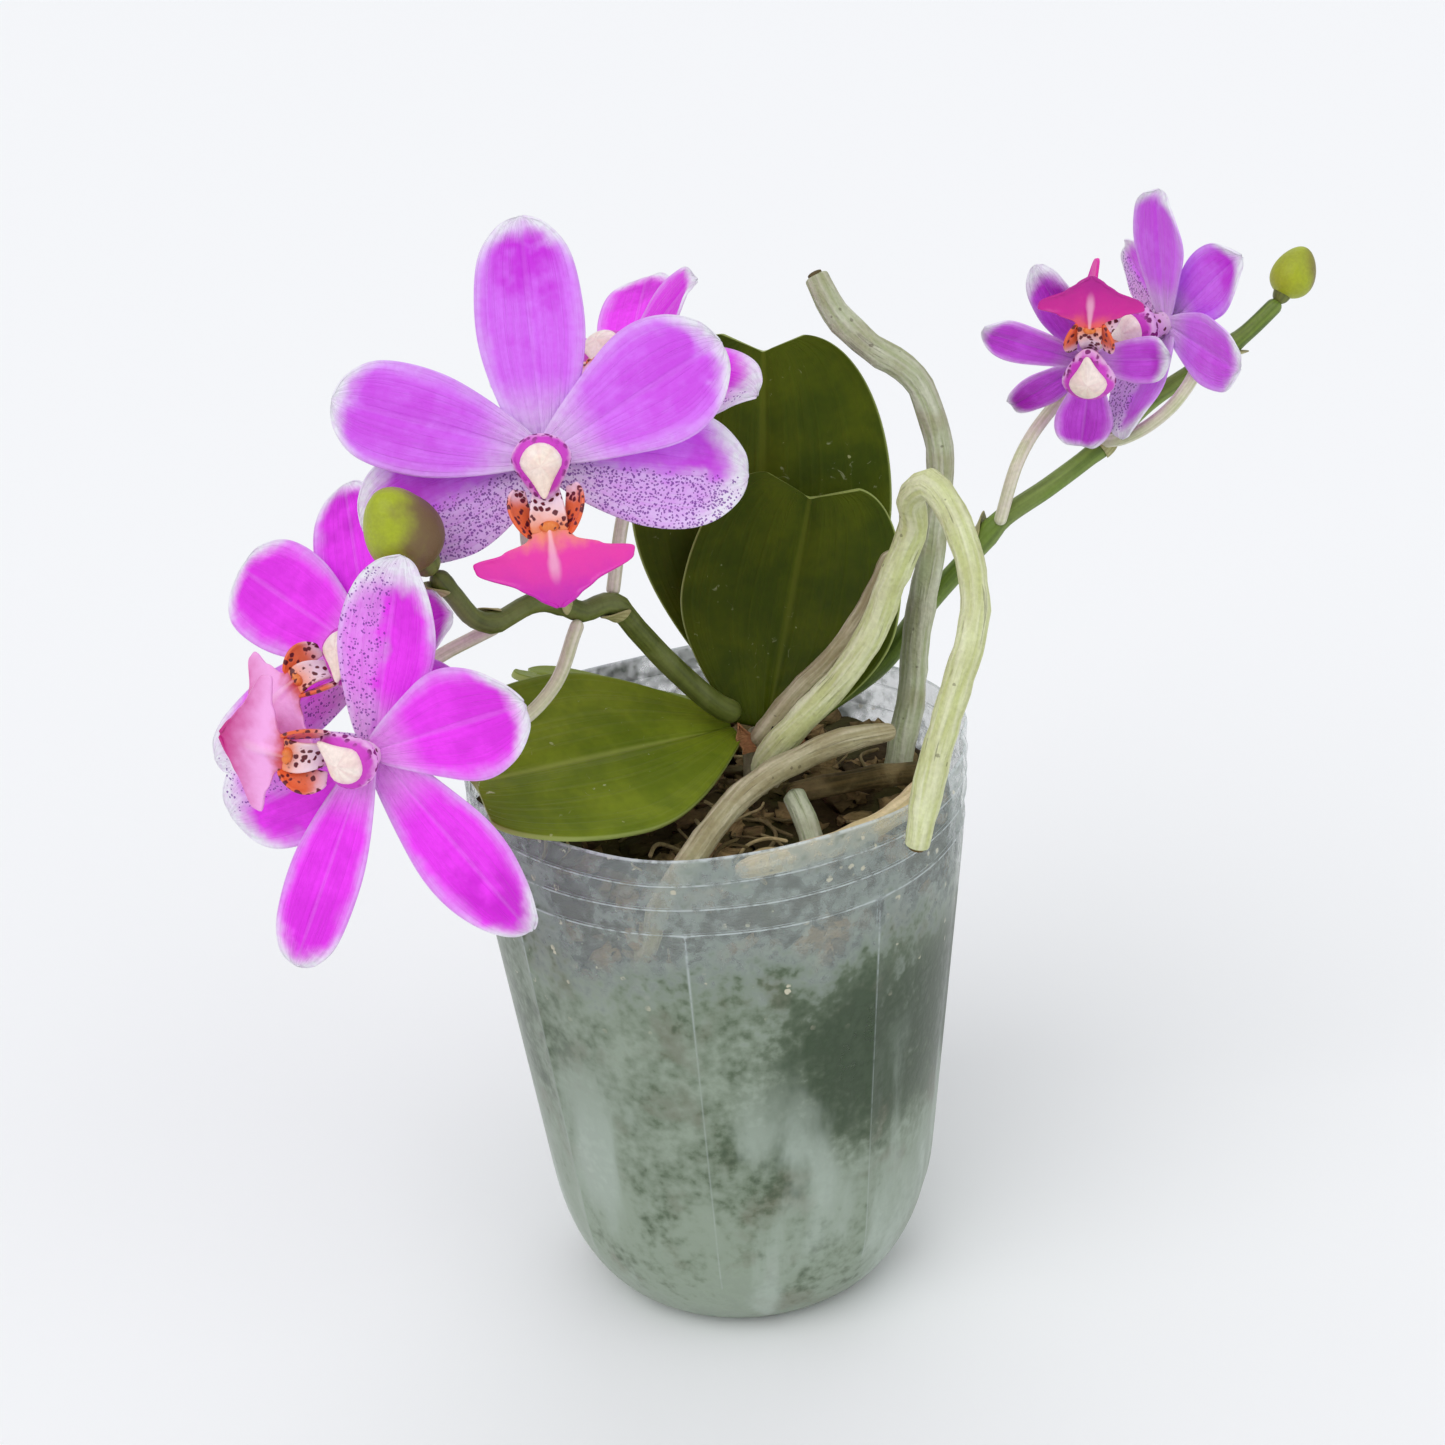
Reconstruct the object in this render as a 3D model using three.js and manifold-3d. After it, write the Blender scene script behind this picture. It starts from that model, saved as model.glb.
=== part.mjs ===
// A moth orchid in its clear nursery pot, in millimetres, +Z up.
// The origin is the middle of the pot's base. The plant leans over the rim towards -X, -Y and +X.

import * as THREE from 'three';
import { mergeVertices } from 'three/addons/utils/BufferGeometryUtils.js';
import Module from 'manifold-3d';

// Pot
const POT_HEIGHT = 106;
const RIM_RADIUS = 45;
const TAPER_RADIUS = 33;
const CORNER_WIDTH = 11;
const CORNER_HEIGHT = 22;
const WALL = 0.9;
const SIDES = 32;
const RING_PITCH = 5;
const RING_COUNT = 3;
const RING_PROUD = 0.5;
const RIB_COUNT = 8;
const RIB_PROUD = 0.6;
const HOLE_COUNT = 6;
const HOLE_RADIUS = 3;
const HOLE_CIRCLE = 15;

// Bark and moss
const CLEARANCE = 0.35;
const BARK_TOP = 95;
const BARK_ROUGHNESS = 1.6;

// Plant
const STEM_PLACE = [8, 3, 88];
const STEM_TOP = 106;
const STEM_RADIUS = 3.4;
const TEPAL_THICKNESS = 0.7;
const LEAF_THICKNESS = 1.8;
const TEPAL_START = 3;
const PETAL_LAYER = 0.3;
const SEPAL_LAYER = -1;
const COLUMN_LENGTH = 8;
const COLUMN_RADIUS = 1.9;
const CAP_RADIUS = 2.6;
const STALK_RADIUS = 1.2;
const SPIKE_RADIUS = 2.1;

const COLOURS = {
  film: 0xaebcbc,
  bark: 0x5a4a33,
  stem: 0x6a7040,
  leaf: 0x4d6418,
  root: 0xaeb08c,
  spike: 0x5c7a34,
  bud: 0x8a9a3c,
  petal: 0xc860e8,
  lip: 0xd8307c,
  column: 0xe8dcc8,
};

const wasm = await Module();
wasm.setup();

function material(colour, roughness) {
  return new THREE.MeshStandardMaterial({ color: colour, roughness, metalness: 0 });
}

function piece(parent, name, geometry, colour, roughness) {
  const mesh = new THREE.Mesh(geometry, material(colour, roughness));
  mesh.name = name;
  parent.add(mesh);
  return mesh;
}

function vector(point) {
  return new THREE.Vector3(...point);
}

function radians(degrees) {
  return THREE.MathUtils.degToRad(degrees);
}

function welded(geometry) {
  const bare = geometry.clone();
  bare.deleteAttribute('normal');
  bare.deleteAttribute('uv');
  return mergeVertices(bare, 1e-4);
}

function toSolid(geometry) {
  const closed = welded(geometry);
  return new wasm.Manifold(new wasm.Mesh({
    numProp: 3,
    vertProperties: new Float32Array(closed.attributes.position.array),
    triVerts: new Uint32Array(closed.index.array),
  }));
}

function toGeometry(solid) {
  const mesh = solid.getMesh();
  const geometry = new THREE.BufferGeometry();
  geometry.setAttribute('position', new THREE.BufferAttribute(mesh.vertProperties, 3));
  geometry.setIndex(new THREE.BufferAttribute(mesh.triVerts, 1));
  return geometry;
}

function cutAway(geometry, tools) {
  const solid = tools.reduce((left, tool) => left.subtract(toSolid(tool)), toSolid(geometry));
  const pieces = solid.decompose();
  pieces.sort((a, b) => b.volume() - a.volume());
  return toGeometry(pieces[0]);
}

// Moves every vertex of a geometry to the place that the rule gives for it.
function shaped(geometry, rule) {
  const place = geometry.attributes.position;
  const at = new THREE.Vector3();
  for (let i = 0; i < place.count; i += 1) {
    at.fromBufferAttribute(place, i);
    rule(at);
    place.setXYZ(i, at.x, at.y, at.z);
  }
  geometry.computeVertexNormals();
  return geometry;
}

// Pot and filling

function wallRadius(height) {
  const straight = THREE.MathUtils.lerp(TAPER_RADIUS, RIM_RADIUS, height / POT_HEIGHT);
  const drop = Math.max(0, 1 - height / CORNER_HEIGHT);
  return straight - CORNER_WIDTH * (1 - Math.sqrt(1 - drop ** 2));
}

function cornerHeights(steps) {
  return Array.from({ length: steps }, (_, i) => CORNER_HEIGHT * (1 - Math.cos((i / steps) * Math.PI / 2)));
}

function potOutline() {
  const outside = cornerHeights(4).map((height) => [wallRadius(height), height]);
  outside.push([wallRadius(CORNER_HEIGHT), CORNER_HEIGHT]);
  outside.push([wallRadius(56), 56]);
  for (let ring = RING_COUNT; ring >= 1; ring -= 1) {
    const height = POT_HEIGHT - ring * RING_PITCH;
    outside.push([wallRadius(height - 0.8), height - 0.8]);
    outside.push([wallRadius(height) + RING_PROUD, height]);
    outside.push([wallRadius(height + 0.8), height + 0.8]);
  }
  outside.push([RIM_RADIUS, POT_HEIGHT]);
  const inside = [POT_HEIGHT, 60, CORNER_HEIGHT, 12, 5, WALL];
  const lining = inside.map((height) => {
    const inset = height === WALL ? WALL + 0.6 : WALL;
    return [wallRadius(height) - inset, height];
  });
  return [[0, 0], ...outside, ...lining, [0, WALL]].map(([r, z]) => new THREE.Vector2(r, z));
}

function addRibs(geometry) {
  const first = CORNER_HEIGHT * 0.6;
  const last = POT_HEIGHT - RING_COUNT * RING_PITCH - 1;
  return shaped(geometry, (at) => {
    const radius = Math.hypot(at.x, at.z);
    const turn = (Math.atan2(at.z, at.x) / (2 * Math.PI)) * RIB_COUNT;
    const onRib = Math.abs(turn - Math.round(turn)) < 0.01;
    const onSkin = radius > wallRadius(at.y) - WALL / 2;
    if (onRib && onSkin && at.y > first && at.y < last) {
      at.multiply(new THREE.Vector3(1 + RIB_PROUD / radius, 1, 1 + RIB_PROUD / radius));
    }
  });
}

function drainHole(index) {
  const angle = (index + 0.5) * (2 * Math.PI / HOLE_COUNT);
  const hole = new THREE.CylinderGeometry(HOLE_RADIUS, HOLE_RADIUS, 6, 10);
  hole.rotateX(Math.PI / 2);
  hole.translate(HOLE_CIRCLE * Math.cos(angle), HOLE_CIRCLE * Math.sin(angle), 0);
  return hole;
}

function potGeometry() {
  const shell = addRibs(new THREE.LatheGeometry(potOutline(), SIDES));
  shell.rotateX(Math.PI / 2);
  const holes = Array.from({ length: HOLE_COUNT }, (_, index) => drainHole(index));
  return cutAway(shell, holes);
}

function barkGeometry(roots) {
  const skin = WALL + CLEARANCE;
  const side = [skin, 5, 12, CORNER_HEIGHT, 45, 70, BARK_TOP].map((height) => {
    const inset = height === skin ? skin + 1 : skin;
    return new THREE.Vector2(wallRadius(height) - inset, height);
  });
  const top = [36, 27, 18, 9].map((radius) => new THREE.Vector2(radius, BARK_TOP + 1));
  const outline = [new THREE.Vector2(0, skin), ...side, ...top, new THREE.Vector2(0, BARK_TOP + 1)];
  const heap = new THREE.LatheGeometry(outline, SIDES);
  heap.rotateX(Math.PI / 2);
  shaped(heap, (at) => {
    if (at.z > BARK_TOP - 1) {
      at.z += BARK_ROUGHNESS * Math.sin(at.x * 0.45 + 1) * Math.cos(at.y * 0.4);
    }
  });
  return cutAway(heap, roots);
}

// Stems, stalks and roots

function tube(points, radiusAt, sides, steps) {
  const route = new THREE.CatmullRomCurve3(points.map(vector), false, 'centripetal');
  const section = new THREE.Shape(new THREE.EllipseCurve(0, 0, 1, 1).getPoints(sides).slice(0, sides));
  const geometry = new THREE.ExtrudeGeometry(section, { steps, extrudePath: route, bevelEnabled: false });
  const centres = route.getSpacedPoints(steps);
  return shaped(geometry, (at) => {
    const gaps = centres.map((centre) => Math.abs(centre.distanceTo(at) - 1));
    const step = gaps.indexOf(Math.min(...gaps));
    at.sub(centres[step]).multiplyScalar(radiusAt(step / steps)).add(centres[step]);
  });
}

function rootTube(points, radius, extra = 0) {
  const length = new THREE.CatmullRomCurve3(points.map(vector), false, 'centripetal').getLength();
  const steps = Math.round(length / 6.5);
  const narrowing = (t) => 1 - 0.35 * Math.max(0, 1 - t * steps) - 0.35 * Math.max(0, 1 - (1 - t) * steps);
  return tube(points, (t) => radius * narrowing(t) + extra, 8, steps);
}

const ROOTS = {
  tall_air_root: {
    radius: 2.5,
    points: [
      [31, 1, 84], [32.5, 2.5, 97], [35.5, 7, 108], [37.5, 12, 118], [41, 15, 134],
      [43, 18, 150], [39.3, 20, 162], [31, 22, 168.5], [26.2, 24, 174], [23.3, 26, 180],
    ],
  },
  arching_air_root: {
    radius: 2.5,
    points: [
      [8.3, -1.4, 101], [8.2, -5.2, 101.8], [9, -9.6, 105.8], [12, -10.2, 109.4], [16.6, -9.6, 113.8],
      [22.4, -9.2, 119.4], [27.8, -8, 126.4], [31.6, -7, 135.3], [35.8, -6.2, 144.6], [35.3, -8.4, 150.6],
      [38.3, -11.5, 153.4], [41.3, -16, 149.5], [43.2, -24, 142], [42.3, -30, 135], [38, -35, 125],
      [34.6, -37.5, 115], [31.4, -38.6, 101.5],
    ],
  },
  upper_root: {
    radius: 2.1,
    points: [
      [7.2, -4.6, 106.8], [8.8, -5.6, 108.6], [15.5, -4.9, 116], [20.4, -4.6, 120.2], [25, -3.4, 125],
      [29.6, -1.6, 131.4], [33.2, -0.6, 138.4],
    ],
  },
  crossing_root: {
    radius: 2.2,
    points: [
      [31, -12.4, 110.6], [22, -14, 110], [13, -17.4, 108.2], [5, -22.4, 106], [-0.6, -29, 103.4],
      [-4.8, -36.6, 101.6], [-9.6, -39, 95.6], [-12.6, -37.2, 87.4], [-14.9, -35.3, 79],
      [-19, -30.7, 59], [-23.6, -23.4, 34],
    ],
  },
  surface_root: {
    radius: 2,
    points: [[12, -9, 98.6], [20, -9.5, 99.8], [28, -7.5, 99.8], [38, -5.6, 99]],
  },
  rim_root: {
    radius: 2,
    points: [
      [2, -38.5, 99.6], [11, -37, 100.6], [20, -33, 101],
      [28, -26.5, 101.2], [34, -18, 101.2], [37.6, -9.6, 101.4],
    ],
  },
  side_root: {
    radius: 2,
    points: [[12.6, -16.5, 102.8], [14.5, -20, 99], [16, -23, 93]],
  },
};

const LEFT_SPIKE = [
  [5, -3.9, 111.8], [1.6, -5, 114], [-6.3, -8.5, 124], [-10.7, -12, 131.4], [-15.1, -16, 138.6],
  [-19.6, -19, 138.6], [-23, -21, 141.2], [-27.1, -24, 142.6], [-32.9, -28, 141.4], [-35.8, -30, 143],
  [-38.5, -33, 148.6], [-40.7, -35, 152.8],
];
const RIGHT_SPIKE = [
  [13.5, 8, 102.6], [21, 14, 105], [31.1, 18, 109.9], [40.7, 20, 120.7],
  [49, 20, 129.7], [53.6, 20, 135], [62.9, 22.5, 139.9], [73.2, 25.5, 146],
  [81.9, 29, 152.2], [93.1, 32, 157.9], [100, 33.8, 162], [106, 35, 167],
];

// Leaves and flower parts

// A thin blade that starts at y = start, with its face towards +Z.
function blade({ start, length, width, thickness, peak, base, tip, bend, cup, notch = 0, across, along }) {
  const box = new THREE.BoxGeometry(2, 1, 1, across, along, 1);
  return shaped(box, (at) => {
    const side = at.x;
    const reach = Math.sin((at.y + 0.5) * Math.PI / 2);
    const growing = base + (1 - base) * Math.sin((Math.PI / 2) * Math.min(1, reach / peak));
    const closing = Math.sqrt(1 - Math.max(0, (reach - peak) / (1 - peak)) ** 2);
    const half = (width / 2) * growing * (tip + (1 - tip) * closing);
    const lift = at.z * thickness;
    at.x = side * half;
    at.y = start + reach * (length - start) - notch * (1 - Math.abs(side)) * reach ** 6;
    at.z = lift + bend * length * reach ** 2 + cup * side ** 2 * half;
  });
}

const TEPALS = {
  dorsal_sepal: { layer: SEPAL_LAYER, shape: { peak: 0.55, base: 0.36, tip: 0.14, bend: -0.03, cup: 0.1 } },
  left_sepal: { layer: SEPAL_LAYER, shape: { peak: 0.5, base: 0.36, tip: 0.14, bend: -0.05, cup: 0.05 } },
  right_sepal: { layer: SEPAL_LAYER, shape: { peak: 0.5, base: 0.36, tip: 0.14, bend: -0.05, cup: 0.05 } },
  left_petal: { layer: PETAL_LAYER, shape: { peak: 0.62, base: 0.24, tip: 0.16, bend: -0.02, cup: 0.05 } },
  right_petal: { layer: PETAL_LAYER, shape: { peak: 0.62, base: 0.24, tip: 0.16, bend: -0.02, cup: 0.05 } },
};

// Each tepal is [angle round the flower, lift towards its face, length, width].
// Each lip is [turn round the flower, lift, size].
const FLOWERS = {
  front_flower: {
    centre: [-22.6, -30, 168.8],
    facing: [0, 17],
    roll: 1,
    dorsal_sepal: [90, 2, 36, 17],
    left_petal: [160, 2, 33, 17],
    right_petal: [27, 2, 32, 19],
    left_sepal: [197, -5, 31, 20],
    right_sepal: [349, -6, 32, 19],
    lip: [2, 4, 1],
    stalk: [[-25.6, -21.8, 145.2], [-27, -20, 150], [-26.4, -21, 158], [-24, -24, 165]],
  },
  upper_left_flower: {
    centre: [-52.6, -34, 139.7],
    facing: [-32, 38],
    roll: 12,
    dorsal_sepal: [108, 0, 32, 14],
    left_petal: [148, 5, 30, 18],
    right_petal: [14, 14, 18, 12],
    left_sepal: [208, 3, 32, 15],
    right_sepal: [325, -4, 22, 13],
    lip: [-50, 10, 0.85],
    stalk: [[-34.6, -25.6, 139], [-40, -25, 136.4], [-46, -27.4, 134.6]],
  },
  lower_left_flower: {
    centre: [-52.3, -46, 128.8],
    facing: [-20, 2],
    roll: -130,
    dorsal_sepal: [82, 6, 37, 16],
    left_petal: [152, 8, 30, 18],
    right_petal: [21, 20, 36, 12.5],
    left_sepal: [206, 2, 32, 16],
    right_sepal: [338, 4, 30, 18],
    lip: [28, 8, 0.95],
    stalk: [
      [-21, -21.8, 136], [-24.5, -25, 129], [-31, -30, 124.6],
      [-40, -34.6, 124.4], [-47, -38.4, 127],
    ],
  },
  rear_flower: {
    centre: [-10.8, 4, 171.4],
    facing: [-45, 60],
    roll: 30,
    dorsal_sepal: [90, 0, 27, 14],
    left_petal: [160, 4, 26, 16],
    right_petal: [10, 34, 22, 15],
    left_sepal: [210, 0, 28, 15],
    right_sepal: [330, 8, 31, 16],
    lip: [3, 25, 0.8],
    stalk: [[-14.2, -12.8, 141], [-12.6, -8, 148], [-10, 0, 156], [-8.6, 5, 163]],
  },
  right_flower: {
    centre: [69.1, 15, 164],
    facing: [-15, -20],
    roll: 180,
    dorsal_sepal: [40, -8, 20, 7],
    left_petal: [82, 2, 18, 10],
    right_petal: [327, 18, 21, 8],
    left_sepal: [178, 0, 13, 10],
    right_sepal: [297, 0, 20, 8],
    lip: [-2, -16, 0.72],
    stalk: [[53.8, 18, 137.2], [56.3, 18, 145.4], [59.6, 22, 149.4], [65, 27.4, 153.6], [70.6, 25.6, 161]],
  },
  end_flower: {
    centre: [83.8, 25, 167.3],
    facing: [-60, 0],
    roll: -70,
    dorsal_sepal: [110, 3, 22, 12],
    left_petal: [156, 10, 24, 13],
    right_petal: [62, 10, 22, 13],
    left_sepal: [224, -12, 22, 9],
    right_sepal: [346, 40, 22, 12],
    lip: [-20, -6, 0.8],
    stalk: [
      [73.5, 23.3, 147.2], [75.6, 19.4, 148.8], [79.6, 17.2, 151.6],
      [84.6, 17.6, 155.8], [89, 22, 161.6],
    ],
  },
};

// Half widths of a lip from its claw to its point: side lobes, waist, then the arms.
const LIP_HALF_WIDTHS = [1.8, 4.4, 4.8, 3.2, 2.6, 3.2, 8, 10.5, 6, 0.9];
const LIP_FOOT = [0, -3.8, 2];
const LIP_ROUTE = [[0, 0, 0], [0, -3.4, 3.4], [0, -8.4, 5.6], [0, -13.4, 5.6], [0, -18.4, 3]];

function lipGeometry(size) {
  const route = new THREE.CatmullRomCurve3(LIP_ROUTE.map(vector));
  const rows = LIP_HALF_WIDTHS.length - 1;
  const box = new THREE.BoxGeometry(2, 1, 1, 6, rows, 1);
  shaped(box, (at) => {
    const reach = at.y + 0.5;
    const centre = route.getPointAt(reach);
    const along = route.getTangentAt(reach);
    const half = LIP_HALF_WIDTHS[Math.round(reach * rows)];
    const sideLobe = 0.8 * Math.max(0, 1 - Math.abs(reach - 0.2) / 0.2);
    const lift = at.z * TEPAL_THICKNESS;
    const rise = sideLobe * at.x ** 2 * half;
    at.set(-at.x * half, centre.y + (lift + rise) * along.z, centre.z - (lift + rise) * along.y);
  });
  return box.scale(size, size, size);
}

function flowerFrame({ centre, facing, roll }) {
  const [azimuth, elevation] = facing.map(radians);
  const face = new THREE.Vector3(
    Math.cos(elevation) * Math.sin(azimuth),
    -Math.cos(elevation) * Math.cos(azimuth),
    Math.sin(elevation),
  );
  const right = new THREE.Vector3(0, 0, 1).cross(face).normalize();
  const up = new THREE.Vector3().crossVectors(face, right);
  const frame = new THREE.Group();
  frame.position.copy(vector(centre));
  frame.quaternion.setFromRotationMatrix(new THREE.Matrix4().makeBasis(right, up, face));
  frame.rotateZ(radians(roll));
  frame.updateMatrix();
  return frame;
}

function columnGeometry(frame, stalk) {
  const local = [[0, 0, -3.4], [0, 0, 0], [0, 0.6, 4], [0, 1, COLUMN_LENGTH]];
  const inside = local.map((point) => vector(point).applyMatrix4(frame.matrix).toArray());
  const steps = 15;
  const radiusAt = (t) => {
    const swelling = THREE.MathUtils.smoothstep(t, 0.45, 0.75);
    const cap = THREE.MathUtils.smoothstep(t, 0.8, 0.94) * (CAP_RADIUS - COLUMN_RADIUS);
    const end = t > 0.99 ? 1.2 : 0;
    return THREE.MathUtils.lerp(STALK_RADIUS, COLUMN_RADIUS, swelling) + cap - end;
  };
  return tube([...stalk, ...inside], radiusAt, 8, steps);
}

function addFlower(parent, name, plan) {
  const frame = flowerFrame(plan);
  for (const [part, { layer, shape }] of Object.entries(TEPALS)) {
    const [angle, lift, length, width] = plan[part];
    const size = { start: TEPAL_START, length, width, thickness: TEPAL_THICKNESS, across: 4, along: 6 };
    const tepal = piece(frame, `${name}_${part}`, blade({ ...size, ...shape }), COLOURS.petal, 0.55);
    tepal.position.z = layer;
    tepal.rotation.set(radians(lift), 0, radians(angle - 90), 'ZXY');
  }
  const [turn, lift, size] = plan.lip;
  const underColumn = new THREE.Group();
  underColumn.rotation.z = radians(turn);
  frame.add(underColumn);
  const lip = piece(underColumn, `${name}_lip`, lipGeometry(size), COLOURS.lip, 0.45);
  lip.position.copy(vector(LIP_FOOT));
  lip.rotation.x = radians(-lift);
  parent.add(frame);
  piece(parent, `${name}_column`, columnGeometry(frame, plan.stalk), COLOURS.column, 0.45);
}

// Each leaf runs from its foot to its tip, with its upper face towards `face`.
const LEAVES = {
  upper_front_leaf: {
    foot: [9.4, -2, 108],
    tip: [20.6, 14, 147],
    face: [-0.1, -1, 0.35],
    shape: { width: 38, peak: 0.5, base: 0.3, tip: 0.42, bend: 0.02, cup: 0.08, notch: 3 },
  },
  upper_rear_leaf: {
    foot: [8.6, 8.4, 107.6],
    tip: [14, 30, 169],
    face: [0, -1, 0.3],
    shape: { width: 46, peak: 0.55, base: 0.16, tip: 0.3, bend: 0.03, cup: 0.05, notch: 3 },
  },
  lower_left_leaf: {
    foot: [3.4, -1.8, 108.4],
    tip: [-40.5, -30.6, 115],
    face: [0.1, -0.5, 1],
    shape: { width: 37, peak: 0.55, base: 0.18, tip: 0.5, bend: -0.01, cup: 0.06, notch: 2 },
  },
  lower_rear_leaf: {
    foot: [2.6, 7, 107],
    tip: [-34, 18.5, 112],
    face: [0, 0.4, 1],
    shape: { width: 28, peak: 0.55, base: 0.2, tip: 0.3, bend: 0.02, cup: 0.06, notch: 2 },
  },
};

function addLeaf(parent, name, { foot, tip, face, shape }) {
  const along = vector(tip).sub(vector(foot));
  const length = along.length();
  along.normalize();
  const across = new THREE.Vector3().crossVectors(along, vector(face)).normalize();
  const front = new THREE.Vector3().crossVectors(across, along);
  const size = { start: 0, length, thickness: LEAF_THICKNESS, across: 4, along: 8 };
  const leaf = piece(parent, name, blade({ ...size, ...shape }), COLOURS.leaf, 0.4);
  leaf.quaternion.setFromRotationMatrix(new THREE.Matrix4().makeBasis(across, along, front));
  leaf.position.copy(vector(foot));
}

function addBud(parent, name, centre, direction, radius) {
  const bud = piece(parent, name, new THREE.SphereGeometry(radius, 10, 7), COLOURS.bud, 0.5);
  bud.scale.set(0.95, 1.12, 0.95);
  bud.quaternion.setFromUnitVectors(new THREE.Vector3(0, 1, 0), vector(direction).normalize());
  bud.position.copy(vector(centre));
}

function stemTube(extra = 0) {
  const [x, y, low] = STEM_PLACE;
  return tube([[x, y, low], [x, y, STEM_TOP]], (t) => STEM_RADIUS - 0.8 * (t > 0.99 ? 1 : 0) + extra, 8, 3);
}

const group = new THREE.Group();
group.name = 'potted_orchid';

const buried = ['tall_air_root', 'crossing_root', 'surface_root', 'rim_root', 'side_root'];
const hollows = buried.map((name) => rootTube(ROOTS[name].points, ROOTS[name].radius, CLEARANCE));
piece(group, 'pot', potGeometry(), COLOURS.film, 0.3);
piece(group, 'bark_and_moss', barkGeometry([...hollows, stemTube(CLEARANCE)]), COLOURS.bark, 0.95);
piece(group, 'stem', stemTube(), COLOURS.stem, 0.8);
for (const [name, { points, radius }] of Object.entries(ROOTS)) {
  piece(group, name, rootTube(points, radius), COLOURS.root, 0.85);
}
for (const [name, plan] of Object.entries(LEAVES)) {
  addLeaf(group, name, plan);
}
const taper = (t) => SPIKE_RADIUS * (1 - 0.3 * t);
piece(group, 'left_flower_spike', tube(LEFT_SPIKE, taper, 8, 18), COLOURS.spike, 0.55);
piece(group, 'right_flower_spike', tube(RIGHT_SPIKE, taper, 8, 20), COLOURS.spike, 0.55);
addBud(group, 'left_bud', [-44, -38.2, 161.6], [-0.35, -0.3, 1], 6);
addBud(group, 'right_bud', [108.5, 35.9, 171.6], [0.45, 0.2, 0.9], 4);
for (const [name, plan] of Object.entries(FLOWERS)) {
  addFlower(group, name, plan);
}

export default group;
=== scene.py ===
"""The looks of a moth orchid in its clear nursery pot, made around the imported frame.

The scene is in metres, +Z up, with its origin in the middle of the pot's underside. The classes
give their sizes in millimetres, as a grower measures a plant, and MM turns them into metres.
"""

import logging
import math
import random
from collections.abc import Callable, Iterable, Iterator
from contextlib import contextmanager
from dataclasses import dataclass, field, replace
from enum import Enum
from functools import partial, reduce
from itertools import pairwise
from typing import Any

import bmesh
import bpy
from mathutils import Matrix, Vector, noise


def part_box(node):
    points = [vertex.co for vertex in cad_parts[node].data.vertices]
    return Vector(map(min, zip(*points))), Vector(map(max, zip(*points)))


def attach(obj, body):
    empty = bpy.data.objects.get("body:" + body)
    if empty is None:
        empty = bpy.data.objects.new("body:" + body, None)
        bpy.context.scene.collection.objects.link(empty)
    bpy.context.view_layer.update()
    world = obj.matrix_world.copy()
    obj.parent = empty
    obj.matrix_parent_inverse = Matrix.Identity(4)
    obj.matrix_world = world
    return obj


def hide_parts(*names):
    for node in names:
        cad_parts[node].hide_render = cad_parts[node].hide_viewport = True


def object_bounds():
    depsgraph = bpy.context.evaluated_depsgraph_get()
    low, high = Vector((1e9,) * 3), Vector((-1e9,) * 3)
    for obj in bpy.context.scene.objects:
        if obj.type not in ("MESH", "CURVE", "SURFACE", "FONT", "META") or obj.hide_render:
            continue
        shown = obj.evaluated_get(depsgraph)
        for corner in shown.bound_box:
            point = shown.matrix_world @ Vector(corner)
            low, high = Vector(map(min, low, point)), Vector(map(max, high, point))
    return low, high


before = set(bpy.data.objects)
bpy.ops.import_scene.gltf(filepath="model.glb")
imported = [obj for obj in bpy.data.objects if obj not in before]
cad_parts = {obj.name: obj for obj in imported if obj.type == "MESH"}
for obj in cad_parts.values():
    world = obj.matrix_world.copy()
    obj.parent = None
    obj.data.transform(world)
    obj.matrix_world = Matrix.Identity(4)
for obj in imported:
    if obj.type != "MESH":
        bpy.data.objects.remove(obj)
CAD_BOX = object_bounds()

logging.basicConfig(level=logging.INFO, format="%(message)s")
LOG = logging.getLogger("orchid")

MM = 0.001
BODY = "root"
LUMPS_A_METRE = 260

Point = tuple[float, float, float]
Colour = tuple[float, float, float, float]
Rule = Callable[[float, float], Vector]


# Small tools


def smooth(low: float, high: float, value: float) -> float:
    """Rises softly from 0 to 1 as the value goes from low to high."""
    share = min(1.0, max(0.0, (value - low) / (high - low)))
    return share * share * (3 - 2 * share)


def between(places: list[float], values: list[float], at: float) -> float:
    """Reads a value off a soft line through some points.

    Args:
        places: Where the points are, rising.
        values: The value at each point.
        at: Where to read it.

    Returns:
        The value there, eased between its two neighbours.
    """
    for (here, low), (there, high) in pairwise(zip(places, values)):
        if at <= there:
            return low + (high - low) * smooth(here, there, at)
    return values[-1]


def srgb(red: int, green: int, blue: int) -> Colour:
    """Turns a screen colour, 0 to 255, into the linear colour that a shader takes."""
    parts = (red, green, blue)
    linear = [((c / 255 + 0.055) / 1.055) ** 2.4 if c > 10 else c / 3294.6 for c in parts]
    return (*linear, 1.0)


def metres(point: Point) -> Vector:
    """Turns a point in millimetres into one in metres."""
    return Vector(point) * MM


def turned(angle: float, axis: str) -> Matrix:
    """Gives a turn about an axis, by an angle in radians."""
    return Matrix.Rotation(angle, 4, axis)


def on_circle(turn: float, reach: float) -> tuple[float, float]:
    """Gives the X and Y of a place from its azimuth and its distance from the middle."""
    return reach * math.cos(turn), reach * math.sin(turn)


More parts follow.
